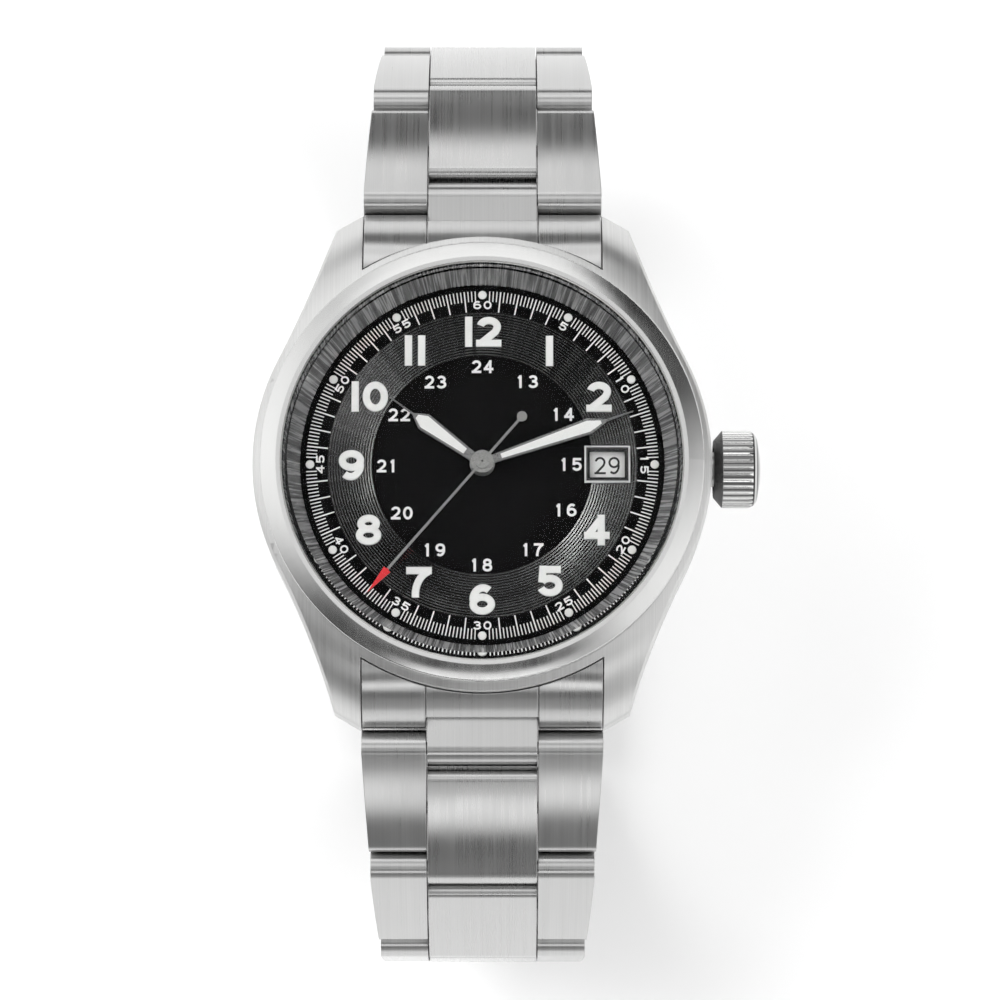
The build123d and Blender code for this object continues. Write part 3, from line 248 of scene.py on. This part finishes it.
def add_ramp(tree, value, stops, ease="LINEAR"):
    """A colour or grey that follows a value through stops of (place, colour)."""
    node = add_node(tree, "ValToRGB", {"Fac": value})
    node.color_ramp.interpolation = ease
    elements = node.color_ramp.elements
    while len(elements) < len(stops):
        elements.new(0.5)
    for element, (place, colour) in zip(elements, stops):
        element.position = place
        element.color = (*colour, 1) if isinstance(colour, tuple) else (colour, colour, colour, 1)
    return node.outputs["Color"]


class Net:
    """The nodes of one material."""

    def __init__(self, name):
        self.material = bpy.data.materials.new(name)
        self.material.use_nodes = True
        self.tree = self.material.node_tree
        self.tree.nodes.clear()
        self.output = self.tree.nodes.new("ShaderNodeOutputMaterial")
        self.place = self.add("TexCoord").outputs["Object"]

    def add(self, kind, inputs=None, **settings):
        return add_node(self.tree, kind, inputs, **settings)

    def math(self, operation, *values):
        return self.add("Math", dict(enumerate(values)), operation=operation).outputs[0]

    def noise(self, scale, detail=2.0, stretch=(1, 1, 1)):
        """Smooth noise with features of about 1/scale metres, stretched along axes with small factors."""
        spot = self.add("Mapping", {"Vector": self.place, "Scale": stretch}).outputs[0]
        return self.add("TexNoise", {"Vector": spot, "Scale": scale, "Detail": detail}).outputs["Fac"]

    def ramp(self, value, *stops):
        return add_ramp(self.tree, value, stops)

    def span(self, value, low, high, to_low=0.0, to_high=1.0):
        """A value carried from one range to another, held at its ends."""
        return self.add("MapRange", {0: value, 1: low, 2: high, 3: to_low, 4: to_high}).outputs[0]

    def mix(self, share, first, second):
        """A colour between two colours."""
        node = self.add("Mix", data_type="RGBA")
        for socket, value in ((node.inputs[0], share), (node.inputs[6], first), (node.inputs[7], second)):
            if isinstance(value, bpy.types.NodeSocket):
                self.tree.links.new(value, socket)
            else:
                socket.default_value = value if socket == node.inputs[0] else (*value, 1)
        return node.outputs[2]

    def bump(self, height, distance, strength=1.0, edge=0.0):
        """A normal with fine relief, and with edges rounded to a radius."""
        inputs = {"Height": height, "Distance": distance, "Strength": strength}
        if edge:
            inputs["Normal"] = self.add("Bevel", {"Radius": edge}, samples=4).outputs[0]
        return self.add("Bump", inputs).outputs[0]

    def tangent(self, x, y, z):
        """The way across the brushing, fixed to the piece."""
        way = self.add("CombineXYZ", {"X": x, "Y": y, "Z": z}).outputs[0]
        return self.add("VectorTransform", {0: way}, vector_type="VECTOR", convert_from="OBJECT",
                        convert_to="WORLD").outputs[0]

    def xyz(self):
        return self.add("SeparateXYZ", {"Vector": self.place}).outputs

    def radius(self):
        """Distance from the hands' axis, in metres."""
        flat = self.add("VectorMath", {0: self.place, 1: (1, 1, 0)}, operation="MULTIPLY").outputs[0]
        return self.add("VectorMath", {0: flat}, operation="LENGTH").outputs["Value"]

    def shade(self, **inputs):
        """Closes the material with one principled shader."""
        shader = self.add("BsdfPrincipled", {key.replace("_", " "): value for key, value in inputs.items()})
        self.tree.links.new(shader.outputs[0], self.output.inputs["Surface"])
        return self.material


def brushed_steel(name, tone=0.6, roughness=0.3, grain=(1.0, 0.006, 0.006), depth=0.000004, strength=0.18,
                  anisotropy=0.95):
    """Steel brushed lengthwise: the noise is squeezed and the gloss is drawn out across the brushing."""
    net = Net(name)
    fine = net.noise(9000.0, 3.0, grain)
    broad = net.noise(1400.0, 2.0, (grain[0], grain[1] * 4, grain[2] * 4))
    cloud = net.noise(160.0, 2.0)
    streaks = net.math("ADD", net.math("MULTIPLY", fine, 0.65), net.math("MULTIPLY", broad, 0.35))
    colour = net.ramp(
        streaks,
        (0.3, (tone * 0.92, tone * 0.92, tone * 0.915)),
        (0.7, (tone * 1.05, tone * 1.05, tone * 1.045)),
    )
    rough = net.math(
        "ADD",
        net.span(streaks, 0.3, 0.7, roughness - 0.04, roughness + 0.05),
        net.span(cloud, 0.35, 0.65, -0.02, 0.02),
    )
    return net.shade(
        Base_Color=colour,
        Metallic=1.0,
        Roughness=rough,
        Anisotropic=anisotropy,
        Tangent=net.tangent(1.0, 0.05, 0.03),
        Normal=net.bump(streaks, depth, strength, 0.00012),
    )


def polished_steel(name, tone=0.7, roughness=0.1):
    """Polished steel with faint hairlines and a little haze."""
    net = Net(name)
    haze = net.noise(220.0, 3.0)
    hair = net.noise(5000.0, 2.0, (1.0, 0.03, 0.4))
    dull, clean = (tone * 0.96, tone * 0.96, tone * 0.955), (tone, tone, tone * 0.99)
    return net.shade(
        Base_Color=net.ramp(haze, (0.3, dull), (0.7, clean)),
        Metallic=1.0,
        Roughness=net.math("ADD", net.span(haze, 0.3, 0.7, roughness * 0.8, roughness * 1.2),
                           net.span(hair, 0.4, 0.8, 0.0, 0.03)),
        Normal=net.bump(hair, 0.0000004, 0.4, 0.00008),
    )


def turned_metal(name, colour, roughness=0.28, pitch=0.00012, depth=0.000004):
    """Metal turned round the hands' axis, with fine rings."""
    net = Net(name)
    wobble = net.noise(600.0, 2.0)
    turns = net.math("MULTIPLY", net.radius(), 2 * pi / pitch)
    rings = net.math("SINE", net.math("ADD", turns, net.math("MULTIPLY", wobble, 3.0)))
    red, green, blue = colour
    return net.shade(
        Base_Color=net.ramp(
            net.span(rings, -1.0, 1.0),
            (0.0, (red * 0.88, green * 0.88, blue * 0.88)),
            (1.0, (red, green, blue)),
        ),
        Metallic=1.0,
        Roughness=net.span(wobble, 0.3, 0.7, roughness - 0.04, roughness + 0.05),
        Normal=net.bump(rings, depth, 0.3),
    )


def plain_coat(name, colour, roughness, spread=0.06, grain=7000.0, depth=0.000003, metallic=0.0):
    """A fine-grained painted or moulded surface."""
    net = Net(name)
    speck = net.noise(grain, 3.0)
    red, green, blue = colour
    return net.shade(
        Base_Color=net.ramp(
            speck,
            (0.3, (red * (1 - spread), green * (1 - spread), blue * (1 - spread))),
            (0.7, (red, green, blue)),
        ),
        Metallic=metallic,
        Roughness=net.span(speck, 0.3, 0.7, roughness - 0.05, roughness + 0.05),
        Normal=net.bump(speck, depth, 0.4),
    )


def case_steel():
    """Brushed on top, brushed round the sides, with rounded edges."""
    net = Net("case_brushed")
    top_fine = net.noise(9000.0, 3.0, (1.0, 0.008, 0.008))
    side_fine = net.noise(9000.0, 3.0, (0.008, 0.008, 1.0))
    upward = net.add("SeparateXYZ", {"Vector": net.add("NewGeometry").outputs["Normal"]}).outputs[2]
    upward = net.math("ABSOLUTE", upward)
    on_top = net.span(upward, 0.45, 0.55)
    streaks = net.math(
        "ADD",
        net.math("MULTIPLY", top_fine, on_top),
        net.math("MULTIPLY", side_fine, net.math("SUBTRACT", 1.0, on_top)),
    )
    cloud = net.noise(120.0, 2.0)
    rough = net.math(
        "ADD", net.span(streaks, 0.3, 0.7, 0.32, 0.4), net.span(cloud, 0.35, 0.65, -0.02, 0.03)
    )
    sideways = net.span(on_top, 0.0, 1.0, 0.05, 1.0)
    upright = net.span(on_top, 0.0, 1.0, 1.0, 0.03)
    return net.shade(
        Base_Color=net.ramp(streaks, (0.3, (0.56, 0.56, 0.555)), (0.7, (0.64, 0.64, 0.635))),
        Metallic=1.0,
        Roughness=rough,
        Anisotropic=0.8,
        Tangent=net.tangent(sideways, 0.04, upright),
        Normal=net.bump(streaks, 0.000004, 0.2, 0.00012),
    )


def dial_black():
    """Matt black with a ring of fine turned grooves, each with two steep sides; each groove's outward side
    is painted pale metal and its inward side near black, a painted sheen and shade.
    """
    net = Net("dial_black")
    x, y = net.xyz()[0:2]
    radius = net.radius()
    wave = net.math("SINE", net.math("MULTIPLY", radius, 2 * pi / (GROOVE_PITCH * MM)))
    soft = 0.04 * MM
    inner, outer = GROOVE_INNER_R * MM, GROOVE_OUTER_R * MM
    past_inner = net.span(radius, inner - soft, inner + soft)
    before_outer = net.span(radius, outer + soft, outer - soft)
    grooved = net.math("MULTIPLY", past_inner, before_outer)
    speck = net.noise(9000.0, 2.0)
    side = net.math("MULTIPLY", net.span(wave, -0.06, 0.06, -GROOVE_SLOPE, GROOVE_SLOPE), grooved)
    lean = net.math("DIVIDE", side, net.math("MAXIMUM", radius, MM))
    slope = net.add("CombineXYZ", {
        "X": net.math("MULTIPLY", x, lean), "Y": net.math("MULTIPLY", y, lean), "Z": 1.0,
    })
    slope = net.add("VectorMath", {0: slope.outputs[0]}, operation="NORMALIZE").outputs[0]
    slope = net.add("VectorTransform", {0: slope}, vector_type="NORMAL", convert_from="OBJECT",
                    convert_to="WORLD")
    # painted sheen and shade: the outward side of each groove is pale metal, the inward side near black
    line = net.math("MULTIPLY", net.span(wave, -0.4, 0.4, 0.05, 1.0), grooved)
    return net.shade(
        Base_Color=net.mix(line, (0.003, 0.003, 0.003), (0.21, 0.21, 0.21)),
        Metallic=grooved,
        Roughness=net.math("ADD", net.span(grooved, 0.0, 1.0, 0.5, 0.14),
                           net.span(speck, 0.3, 0.7, 0.0, 0.08)),
        Specular_IOR_Level=0.04,
        Normal=slope.outputs[0],
    )


def window_frame():
    """A bright outer line round a dark polished bevel."""
    net = Net("date_frame_metal")
    x, y = net.xyz()[0:2]
    off_middle = net.math("ABSOLUTE", net.math("SUBTRACT", x, DATE_R * MM))
    across = net.math("SUBTRACT", DATE_FRAME_HALF_W * MM, off_middle)
    along = net.math("SUBTRACT", DATE_FRAME_HALF_H * MM, net.math("ABSOLUTE", y))
    inset = net.math("MINIMUM", across, along)
    rim, soft = DATE_FRAME_RIM * MM, 0.015 * MM
    outer = net.span(inset, rim - soft, rim + soft, 1.0, 0.0)
    speck = net.noise(4000.0, 2.0)
    return net.shade(
        Base_Color=net.mix(outer, (0.05, 0.05, 0.05), (0.85, 0.85, 0.85)),
        Metallic=net.span(outer, 0.0, 1.0, 1.0, 0.2),
        Roughness=net.span(speck, 0.3, 0.7, 0.16, 0.24),
    )


def seconds_paint():
    """A brushed steel hand with a red tip, and a dark dot in its cap: painted shade for the pivot's dimple.
    """
    net = Net("seconds_steel_red")
    radius = net.radius()
    soft = 0.02 * MM
    red = net.span(radius, RED_TIP_R * MM - soft, RED_TIP_R * MM + soft)
    # painted shade: the pivot dimple is only a dark dot in the colour
    dimple = net.span(radius, PIVOT_DIMPLE_R * MM - soft, PIVOT_DIMPLE_R * MM + soft, 1.0, 0.0)
    fine = net.noise(7000.0, 2.0)
    steel = net.ramp(fine, (0.3, (0.22, 0.22, 0.215)), (0.7, (0.32, 0.32, 0.31)))
    steel = net.mix(dimple, steel, (0.04, 0.04, 0.04))
    return net.shade(
        Base_Color=net.mix(red, steel, (0.75, 0.012, 0.02)),
        Metallic=net.span(red, 0.0, 1.0, 1.0, 0.0),
        Roughness=net.span(fine, 0.3, 0.7, 0.34, 0.46),
        Normal=net.bump(fine, 0.000003, 0.3),
    )


def crystal_glass():
    """Clear glass with a coating that hides reflections."""
    net = Net("crystal_clear")
    smear = net.noise(180.0, 2.0)
    return net.shade(
        Base_Color=(1.0, 1.0, 1.0, 1.0),
        Roughness=net.span(smear, 0.4, 0.7, 0.0, 0.004),
        IOR=1.45,
        Specular_Tint=(0.03, 0.03, 0.035, 1.0),
        Transmission_Weight=1.0,
    )


def crown_steel(low, high):
    """A sand-blasted cone, polished flutes with painted shade in their roots, then a painted shade line
    where the flutes end and a painted shade band where the dome turns away, before the domed end.
    """
    net = Net("crown_fluted")
    x, y, z = net.xyz()[0:3]
    lift = net.math("SUBTRACT", z, (low[2] + high[2]) / 2)
    radius = net.math("SQRT", net.math("ADD", net.math("MULTIPLY", y, y), net.math("MULTIPLY", lift, lift)))
    along = net.math("SUBTRACT", x, low[0])

    def past(place, soft=0.01):
        """0 before a distance along the crown, 1 after it."""
        return net.span(along, (place - soft) * MM, (place + soft) * MM)

    def between(start, end, soft=0.01):
        return net.math("MULTIPLY", past(start, soft), net.math("SUBTRACT", 1.0, past(end, soft)))

    grain = net.noise(9000.0, 3.0)
    haze = net.noise(500.0, 2.0)
    # painted shade: the flutes' roots are near black, their ridges pale
    on_ridge = net.span(radius, CROWN_ROOT_R * MM, CROWN_RIDGE_R * MM)
    flutes_with_root_shade = net.mix(on_ridge, (0.045, 0.045, 0.046), (0.72, 0.72, 0.715))
    cone = net.ramp(grain, (0.35, (0.07, 0.07, 0.07)), (0.65, (0.24, 0.24, 0.24)))
    past_cone = past(CROWN_CONE_L)
    # painted shade: a dark line where the flutes end and a dark band where the dome turns away
    dark = net.math("MAXIMUM", between(*CROWN_SHADE_LINE_L), between(*CROWN_RIM_SHADE_L, 0.02))
    end = net.mix(dark, (0.56, 0.56, 0.555), (0.04, 0.04, 0.04))
    return net.shade(
        Base_Color=net.mix(past_cone, cone, net.mix(past(CROWN_SHADE_LINE_L[0]), flutes_with_root_shade, end)),
        Metallic=1.0,
        Roughness=net.math("ADD", net.span(past_cone, 0.0, 1.0, 0.45, 0.1),
                           net.span(haze, 0.3, 0.7, 0.0, 0.05)),
        Normal=net.bump(grain, 0.000006, net.span(past_cone, 0.0, 1.0, 0.5, 0.02), 0.00006),
    )


def flange_metal():
    """The sloped ring round the dial: satin, with fine upright lines."""
    net = Net("flange_satin")
    x, y, z = net.xyz()[0:3]
    angle = net.math("ARCTAN2", y, x)
    spot = net.add("CombineXYZ", {"X": angle, "Y": net.math("MULTIPLY", z, 2.0)}).outputs[0]
    lines = net.add("TexNoise", {"Vector": spot, "Scale": 90.0, "Detail": 3.0}).outputs["Fac"]
    return net.shade(
        Base_Color=net.ramp(lines, (0.36, (0.16, 0.16, 0.16)), (0.64, (0.5, 0.5, 0.5))),
        Metallic=0.4,
        Roughness=net.span(lines, 0.3, 0.7, 0.2, 0.32),
        Normal=net.bump(lines, 0.00002, 0.2),
    )


steel_case = case_steel()
steel_link = brushed_steel("link_brushed", 0.52, 0.3)
steel_centre = brushed_steel("centre_link_brushed", 0.52, 0.28, depth=0.000003)
steel_end = brushed_steel("end_link_brushed", 0.52, 0.3)
steel_bezel = polished_steel("bezel_polished", 0.58, 0.2)
steel_crown = crown_steel(*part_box("crown"))
steel_blade = polished_steel("blade_polished", 0.66, 0.14)
steel_button = polished_steel("button_polished", 0.7, 0.12)
steel_pin = polished_steel("pin_polished", 0.55, 0.2)
steel_tube = turned_metal("tube_turned", (0.55, 0.55, 0.54))
steel_back = turned_metal("case_back_turned", (0.6, 0.6, 0.59), 0.3, 0.00016)
rotor_metal = turned_metal("rotor_grained", (0.6, 0.6, 0.58), 0.3, 0.0003)
plate_metal = turned_metal("plate_grained", (0.62, 0.6, 0.55), 0.32, 0.0004)
gear_brass = turned_metal("gear_brass", (0.72, 0.55, 0.26), 0.26, 0.0002)
spring_blue = polished_steel("hairspring_blued", 0.3, 0.2)
hand_steel = brushed_steel("hand_steel", 0.2, 0.3, (1.0, 1.0, 1.0), anisotropy=0.0)
rubber = plain_coat("gasket_rubber", (0.03, 0.03, 0.03), 0.7)
nylon = plain_coat("gasket_nylon", (0.82, 0.82, 0.8), 0.4)
holder = plain_coat("holder_moulded", (0.7, 0.7, 0.68), 0.5)
date_white = plain_coat("date_white", (0.9, 0.9, 0.89), 0.5, 0.03)
lume = plain_coat("luminous_white", (0.9, 0.905, 0.885), 0.62, 0.08, 14000.0, 0.00001)
print_white = plain_coat("print_white", (0.88, 0.88, 0.88), 0.5, 0.05)
print_black = plain_coat("print_black", (0.012, 0.012, 0.012), 0.5, 0.2)

MATERIALS = {
    "case_middle": steel_case, "bezel": steel_bezel, "crystal": crystal_glass(), "crystal_gasket": nylon,
    "flange_ring": flange_metal(), "dial": dial_black(), "date_frame": window_frame(),
    "case_back": steel_back, "case_back_gasket": rubber, "crown_tube": steel_tube, "movement_ring": holder,
    "main_plate": plate_metal, "train_bridge": plate_metal, "balance_cock": plate_metal,
    "end_link_12": steel_end, "end_link_6": steel_end, "spring_bars": steel_pin,
    "second_hand": seconds_paint(), "fourth_wheel": gear_brass, "minute_hand": hand_steel,
    "cannon_pinion": gear_brass, "hour_hand": hand_steel, "hour_wheel": gear_brass,
    "third_wheel": gear_brass, "barrel": gear_brass, "escape_wheel": steel_pin, "pallet_fork": steel_pin,
    "balance_wheel": gear_brass, "hairspring": spring_blue, "rotor": rotor_metal, "date_ring": date_white,
    "sliding_pinion": steel_pin, "crown": steel_crown, "winding_stem": steel_pin, "crown_gasket": rubber,
    "clasp_blade_inner": steel_blade, "clasp_blade_outer": steel_blade, "clasp_cover": steel_link,
    "clasp_button_right": steel_button, "clasp_button_left": steel_button,
}
for name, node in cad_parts.items():
    material = MATERIALS.get(name)
    if material is None:
        material = steel_centre if name.startswith("center_link") else steel_link
    node.data.materials.clear()
    node.data.materials.append(material)

# Printing on the dial
DIAL_TOP = 7.2
PRINT_TOP = DIAL_TOP + 0.02
LUME_TOP = DIAL_TOP + 0.09
HOUR_TYPE = {"height": 2.55, "digit_w": 2.12, "pen": 0.62, "bar_one": True, "slope": 0.05}
DAY_HOUR_TYPE = {"height": 1.08, "digit_w": 0.8, "pen": 0.205, "gap": 0.2}
MINUTE_TYPE = {"height": 0.7, "digit_w": 0.66, "pen": 0.14, "gap": 0.2}
DATE_TYPE = {"height": 1.45, "digit_w": 0.94, "pen": 0.175, "gap": 0.22}
HOUR_GAP, ELEVEN_GAP = 0.3, 0.48
LONG_MARK_W, SHORT_MARK_W, MARKS_A_MINUTE = 0.11, 0.09, 5

HOURS = {
    "12": (0.07, 11.16), "1": (5.58, 9.54), "2": (9.68, 5.68), "4": (9.47, -5.5), "5": (5.58, -9.75),
    "6": (0.0, -11.28), "7": (-5.22, -9.84), "8": (-9.4, -5.48), "9": (-10.85, -0.06), "10": (-9.35, 5.7),
    "11": (-5.6, 9.58),
}
hour_numbers = Plates(DIAL_TOP, LUME_TOP)
for text, place in HOURS.items():
    write_number(hour_numbers, text, place, gap=ELEVEN_GAP if text == "11" else HOUR_GAP, **HOUR_TYPE)
new_object("hour_numbers", hour_numbers.vertices, hour_numbers.faces, "case", lume)

DAY_HOURS = {
    "24": (0.01, 8.22), "13": (3.71, 6.96), "14": (6.69, 4.2), "15": (7.33, 0.0), "16": (6.89, -3.82),
    "17": (4.16, -7.13), "18": (-0.08, -8.41), "19": (-3.97, -7.15), "20": (-6.66, -4.07),
    "21": (-7.85, -0.13), "22": (-6.9, 4.16), "23": (-3.9, 6.92),
}
small_print = Plates(DIAL_TOP, PRINT_TOP)
for text, place in DAY_HOURS.items():
    write_number(small_print, text, place, **DAY_HOUR_TYPE)
for minutes in range(5, 61, 5):
    inward = 15 < minutes < 45
    turn = 6 * minutes + (180 if inward else 0)
    write_number(small_print, str(minutes), clock(MINUTE_NUMBER_R, minutes), turn=turn, **MINUTE_TYPE)
for step in range(60 * MARKS_A_MINUTE):
    if step % (5 * MARKS_A_MINUTE) in (0, 1, 5 * MARKS_A_MINUTE - 1):
        continue  # the minute dots stand here
    minutes = step / MARKS_A_MINUTE
    whole = step % MARKS_A_MINUTE == 0
    inner = MINUTE_LONG_R if whole else MINUTE_SHORT_R
    angle = radians(6 * minutes)
    side = Vector((cos(angle), -sin(angle))) * (LONG_MARK_W if whole else SHORT_MARK_W) / 2
    a, b = Vector(clock(inner, minutes)), Vector(clock(MINUTE_OUTER_R, minutes))
    small_print.outline([tuple(a - side), tuple(b - side), tuple(b + side), tuple(a + side)])
new_object("dial_print", small_print.vertices, small_print.faces, "case", print_white)

dots = Plates(DIAL_TOP, LUME_TOP)
for minutes in range(0, 60, 5):
    x, y = clock(MINUTE_DOT_R, minutes)
    around = [2 * pi * k / 24 for k in range(24)]
    dots.outline([(x + MINUTE_DOT_SIZE * cos(a), y + MINUTE_DOT_SIZE * sin(a)) for a in around], 0.06)
new_object("minute_dots", dots.vertices, dots.faces, "case", lume)

# Numbers on the date ring, each upright when it stands at three o'clock
DATE_TOP = 6.55
SHOWN_DAY = 29
date_print = Plates(DATE_TOP, DATE_TOP + 0.015)
for day in range(1, 32):
    turn = 360 / 31 * (day - SHOWN_DAY)
    place = (DATE_R * cos(radians(-turn)), DATE_R * sin(radians(-turn)))
    write_number(date_print, str(day), place, turn=turn, **DATE_TYPE)
new_object("date_numbers", date_print.vertices, date_print.faces, "date_ring", print_black)


# Luminous paint in the hands
def hand_fill(name, body, clock_deg, top_z, start, neck_w, wide_r, wide_w, end_r, end_w):
    """White paint inside the metal edge of a hand."""
    way = Vector((sin(radians(clock_deg)), cos(radians(clock_deg))))
    side = Vector((-way.y, way.x))
    outline = [(start, neck_w / 2), (wide_r, wide_w / 2), (end_r, end_w / 2), (end_r, -end_w / 2),
               (wide_r, -wide_w / 2), (start, -neck_w / 2)]
    fill = Plates(top_z, top_z + 0.035)
    fill.outline([tuple(way * r + side * s) for r, s in outline], 0.03)
    new_object(name, fill.vertices, fill.faces, body, lume)


hand_fill("hour_paint", "hour_hand", clock_deg=306.0, top_z=7.75, start=1.75, neck_w=0.5,
          wide_r=5.95, wide_w=1.14, end_r=6.7, end_w=0.36)
hand_fill("minute_paint", "minute_hand", clock_deg=71.0, top_z=8.3, start=1.65, neck_w=0.4,
          wide_r=9.3, wide_w=0.96, end_r=10.4, end_w=0.26)

# Floor, world, lamps and camera
FLOOR_HALF_M = 3
FLOOR_NEAR_M, FLOOR_FAR_M, GLOW_NEAR, GLOW_FAR = 0.12, 0.8, 0.12, 0.42
floor_z = cad_box[0][2] - MM
floor_mesh = bpy.data.meshes.new("floor")
corners = [(x * FLOOR_HALF_M, y * FLOOR_HALF_M, floor_z) for x, y in ((-1, -1), (1, -1), (1, 1), (-1, 1))]
floor_mesh.from_pydata(corners, [], [(0, 1, 2, 3)])
floor = bpy.data.objects.new("floor", floor_mesh)
bpy.context.scene.collection.objects.link(floor)

net = Net("floor_white")
paths = net.add("LightPath").outputs
seen = net.math("MAXIMUM", paths["Is Camera Ray"],
                net.math("MAXIMUM", paths["Is Glossy Ray"], paths["Is Transmission Ray"]))
paper = net.add("BsdfDiffuse", {"Color": net.ramp(net.noise(30.0), (0.3, 0.78), (0.7, 0.82))})
reach = net.add("VectorMath", {0: net.place}, operation="LENGTH").outputs["Value"]
level = net.span(reach, FLOOR_NEAR_M, FLOOR_FAR_M, GLOW_NEAR, GLOW_FAR)
glow = net.add("Emission", {"Color": (1, 1, 1, 1), "Strength": net.math("MULTIPLY", seen, level)})
both = net.add("AddShader", {0: paper.outputs[0], 1: glow.outputs[0]})
net.tree.links.new(both.outputs[0], net.output.inputs["Surface"])
floor_mesh.materials.append(net.material)

world = bpy.data.worlds.new("studio")
bpy.context.scene.world = world
world.use_nodes = True
tree = world.node_tree
tree.nodes.clear()

# The studio round the watch: a white backdrop round the horizon, with soft lights and dark flags above it.
# Stops are in degrees, brightness is a share of the world's strength.
STUDIO = 2.2
# Over the band, from the six o'clock horizon (-90) through the top (0) to the twelve o'clock horizon (90):
BAND_SHARES = [
    (-180, 0.2), (-66, 0.18), (-60, 0.08), (-51, 0.03), (-47, 0.7), (-44, 0.92), (-39, 0.92), (-36, 0.4),
    (-33, 0.02), (-25, 0.02), (-22, 0.3), (-17, 0.32), (-12, 0.05), (-7, 0.2), (-1, 0.46), (9, 0.58),
    (16, 0.34), (21, 0.22), (26, 0.5), (32, 0.85), (40, 0.85), (45, 0.68), (50, 0.66), (57, 0.78),
    (61, 0.5), (65, 0.02), (75, 0.01), (81, 0.07), (88, 0.14), (100, 0.18), (180, 0.2),
]
# By the clock, going anticlockwise from nine (0) past six (90), three (180) and twelve (270):
CLOCK_SHARES = [
    (0, 0.66), (10, 0.5), (20, 0.26), (30, 0.1), (40, 0.03), (56, 0.02), (72, 0.1), (84, 0.26), (95, 0.32),
    (110, 0.24), (128, 0.28), (142, 0.62), (165, 0.66), (178, 0.56), (190, 0.42), (203, 0.16),
    (215, 0.02), (244, 0.02), (256, 0.16), (266, 0.3), (276, 0.4), (290, 0.52), (308, 0.44), (325, 0.66),
    (345, 0.72), (360, 0.66),
]
# The clock's shares take over from the band's where a way leans to the side by these shares of its length:
SIDE_LEAN = (0.22, 0.42)
# The backdrop ends where a way rises by these shares of its length:
BACKDROP_RISE = (0.1, 0.16)


def soft_step(value, ends, to_low=0.0, to_high=1.0):
    """A value carried smoothly from one level to another between two ends."""
    inputs = {0: value, 1: ends[0], 2: ends[1], 3: to_low, 4: to_high}
    return add_node(tree, "MapRange", inputs, interpolation_type="SMOOTHSTEP").outputs[0]


def turn_share(first, second):
    """The angle of a way in a plane, as a share of a turn."""
    angle = add_node(tree, "Math", {0: first, 1: second}, operation="ARCTAN2").outputs[0]
    return add_node(tree, "MapRange", {0: angle, 1: -pi, 2: pi}).outputs[0]


way = add_node(tree, "TexCoord").outputs["Generated"]
way_x, way_y, way_z = add_node(tree, "SeparateXYZ", {"Vector": way}).outputs
band_stops = [((degrees + 180) / 360, share) for degrees, share in BAND_SHARES]
clock_stops = [(degrees / 360, share) for degrees, share in CLOCK_SHARES]
lean = add_node(tree, "Math", {0: way_x}, operation="ABSOLUTE").outputs[0]
sky = add_node(tree, "Mix", {0: soft_step(lean, SIDE_LEAN)}, data_type="RGBA")
tree.links.new(add_ramp(tree, turn_share(way_y, way_z), band_stops, "EASE"), sky.inputs[6])
tree.links.new(add_ramp(tree, turn_share(way_y, way_x), clock_stops, "EASE"), sky.inputs[7])
studio = add_node(tree, "Mix", {0: soft_step(way_z, BACKDROP_RISE, 1.0, 0.0)}, data_type="RGBA")
tree.links.new(sky.outputs[2], studio.inputs[6])
studio.inputs[7].default_value = (1 / STUDIO, 1 / STUDIO, 1 / STUDIO, 1)
background = add_node(tree, "Background", {"Color": studio.outputs[2], "Strength": STUDIO})
tree.links.new(background.outputs[0], add_node(tree, "OutputWorld").inputs["Surface"])


def lamp(name, place, aim, size, power):
    """A soft rectangular lamp; places in millimetres."""
    light = bpy.data.lights.new(name, "AREA")
    light.shape = "RECTANGLE"
    light.size = size[0] * MM
    light.size_y = size[1] * MM
    light.energy = power
    obj = bpy.data.objects.new(name, light)
    bpy.context.scene.collection.objects.link(obj)
    obj.location = Vector(place) * MM
    obj.rotation_euler = (Vector(aim) - Vector(place)).to_track_quat("-Z", "Y").to_euler()
    obj.visible_glossy = False


lamp("key", (-420, 180, 520), (0, 0, 0), (420, 520), 2.8)
lamp("fill", (420, -160, 420), (0, 0, 0), (360, 520), 1.5)

distance = 370.0
tilt = radians(8.5)
aim = Vector((1.463, -3.18, 9.0))
focal_px = 4488.0
picture_px = 1000
camera_data = bpy.data.cameras.new("camera")
camera_data.sensor_width = 36.0
camera_data.lens = camera_data.sensor_width * focal_px / picture_px
camera_data.clip_start = 0.01
camera_data.clip_end = 20.0
camera = bpy.data.objects.new("camera", camera_data)
bpy.context.scene.collection.objects.link(camera)
camera.location = (aim + distance * Vector((0, -sin(tilt), cos(tilt)))) * MM
camera.rotation_euler = (tilt, 0, 0)
bpy.context.scene.camera = camera
bpy.context.scene.view_settings.view_transform = "Standard"
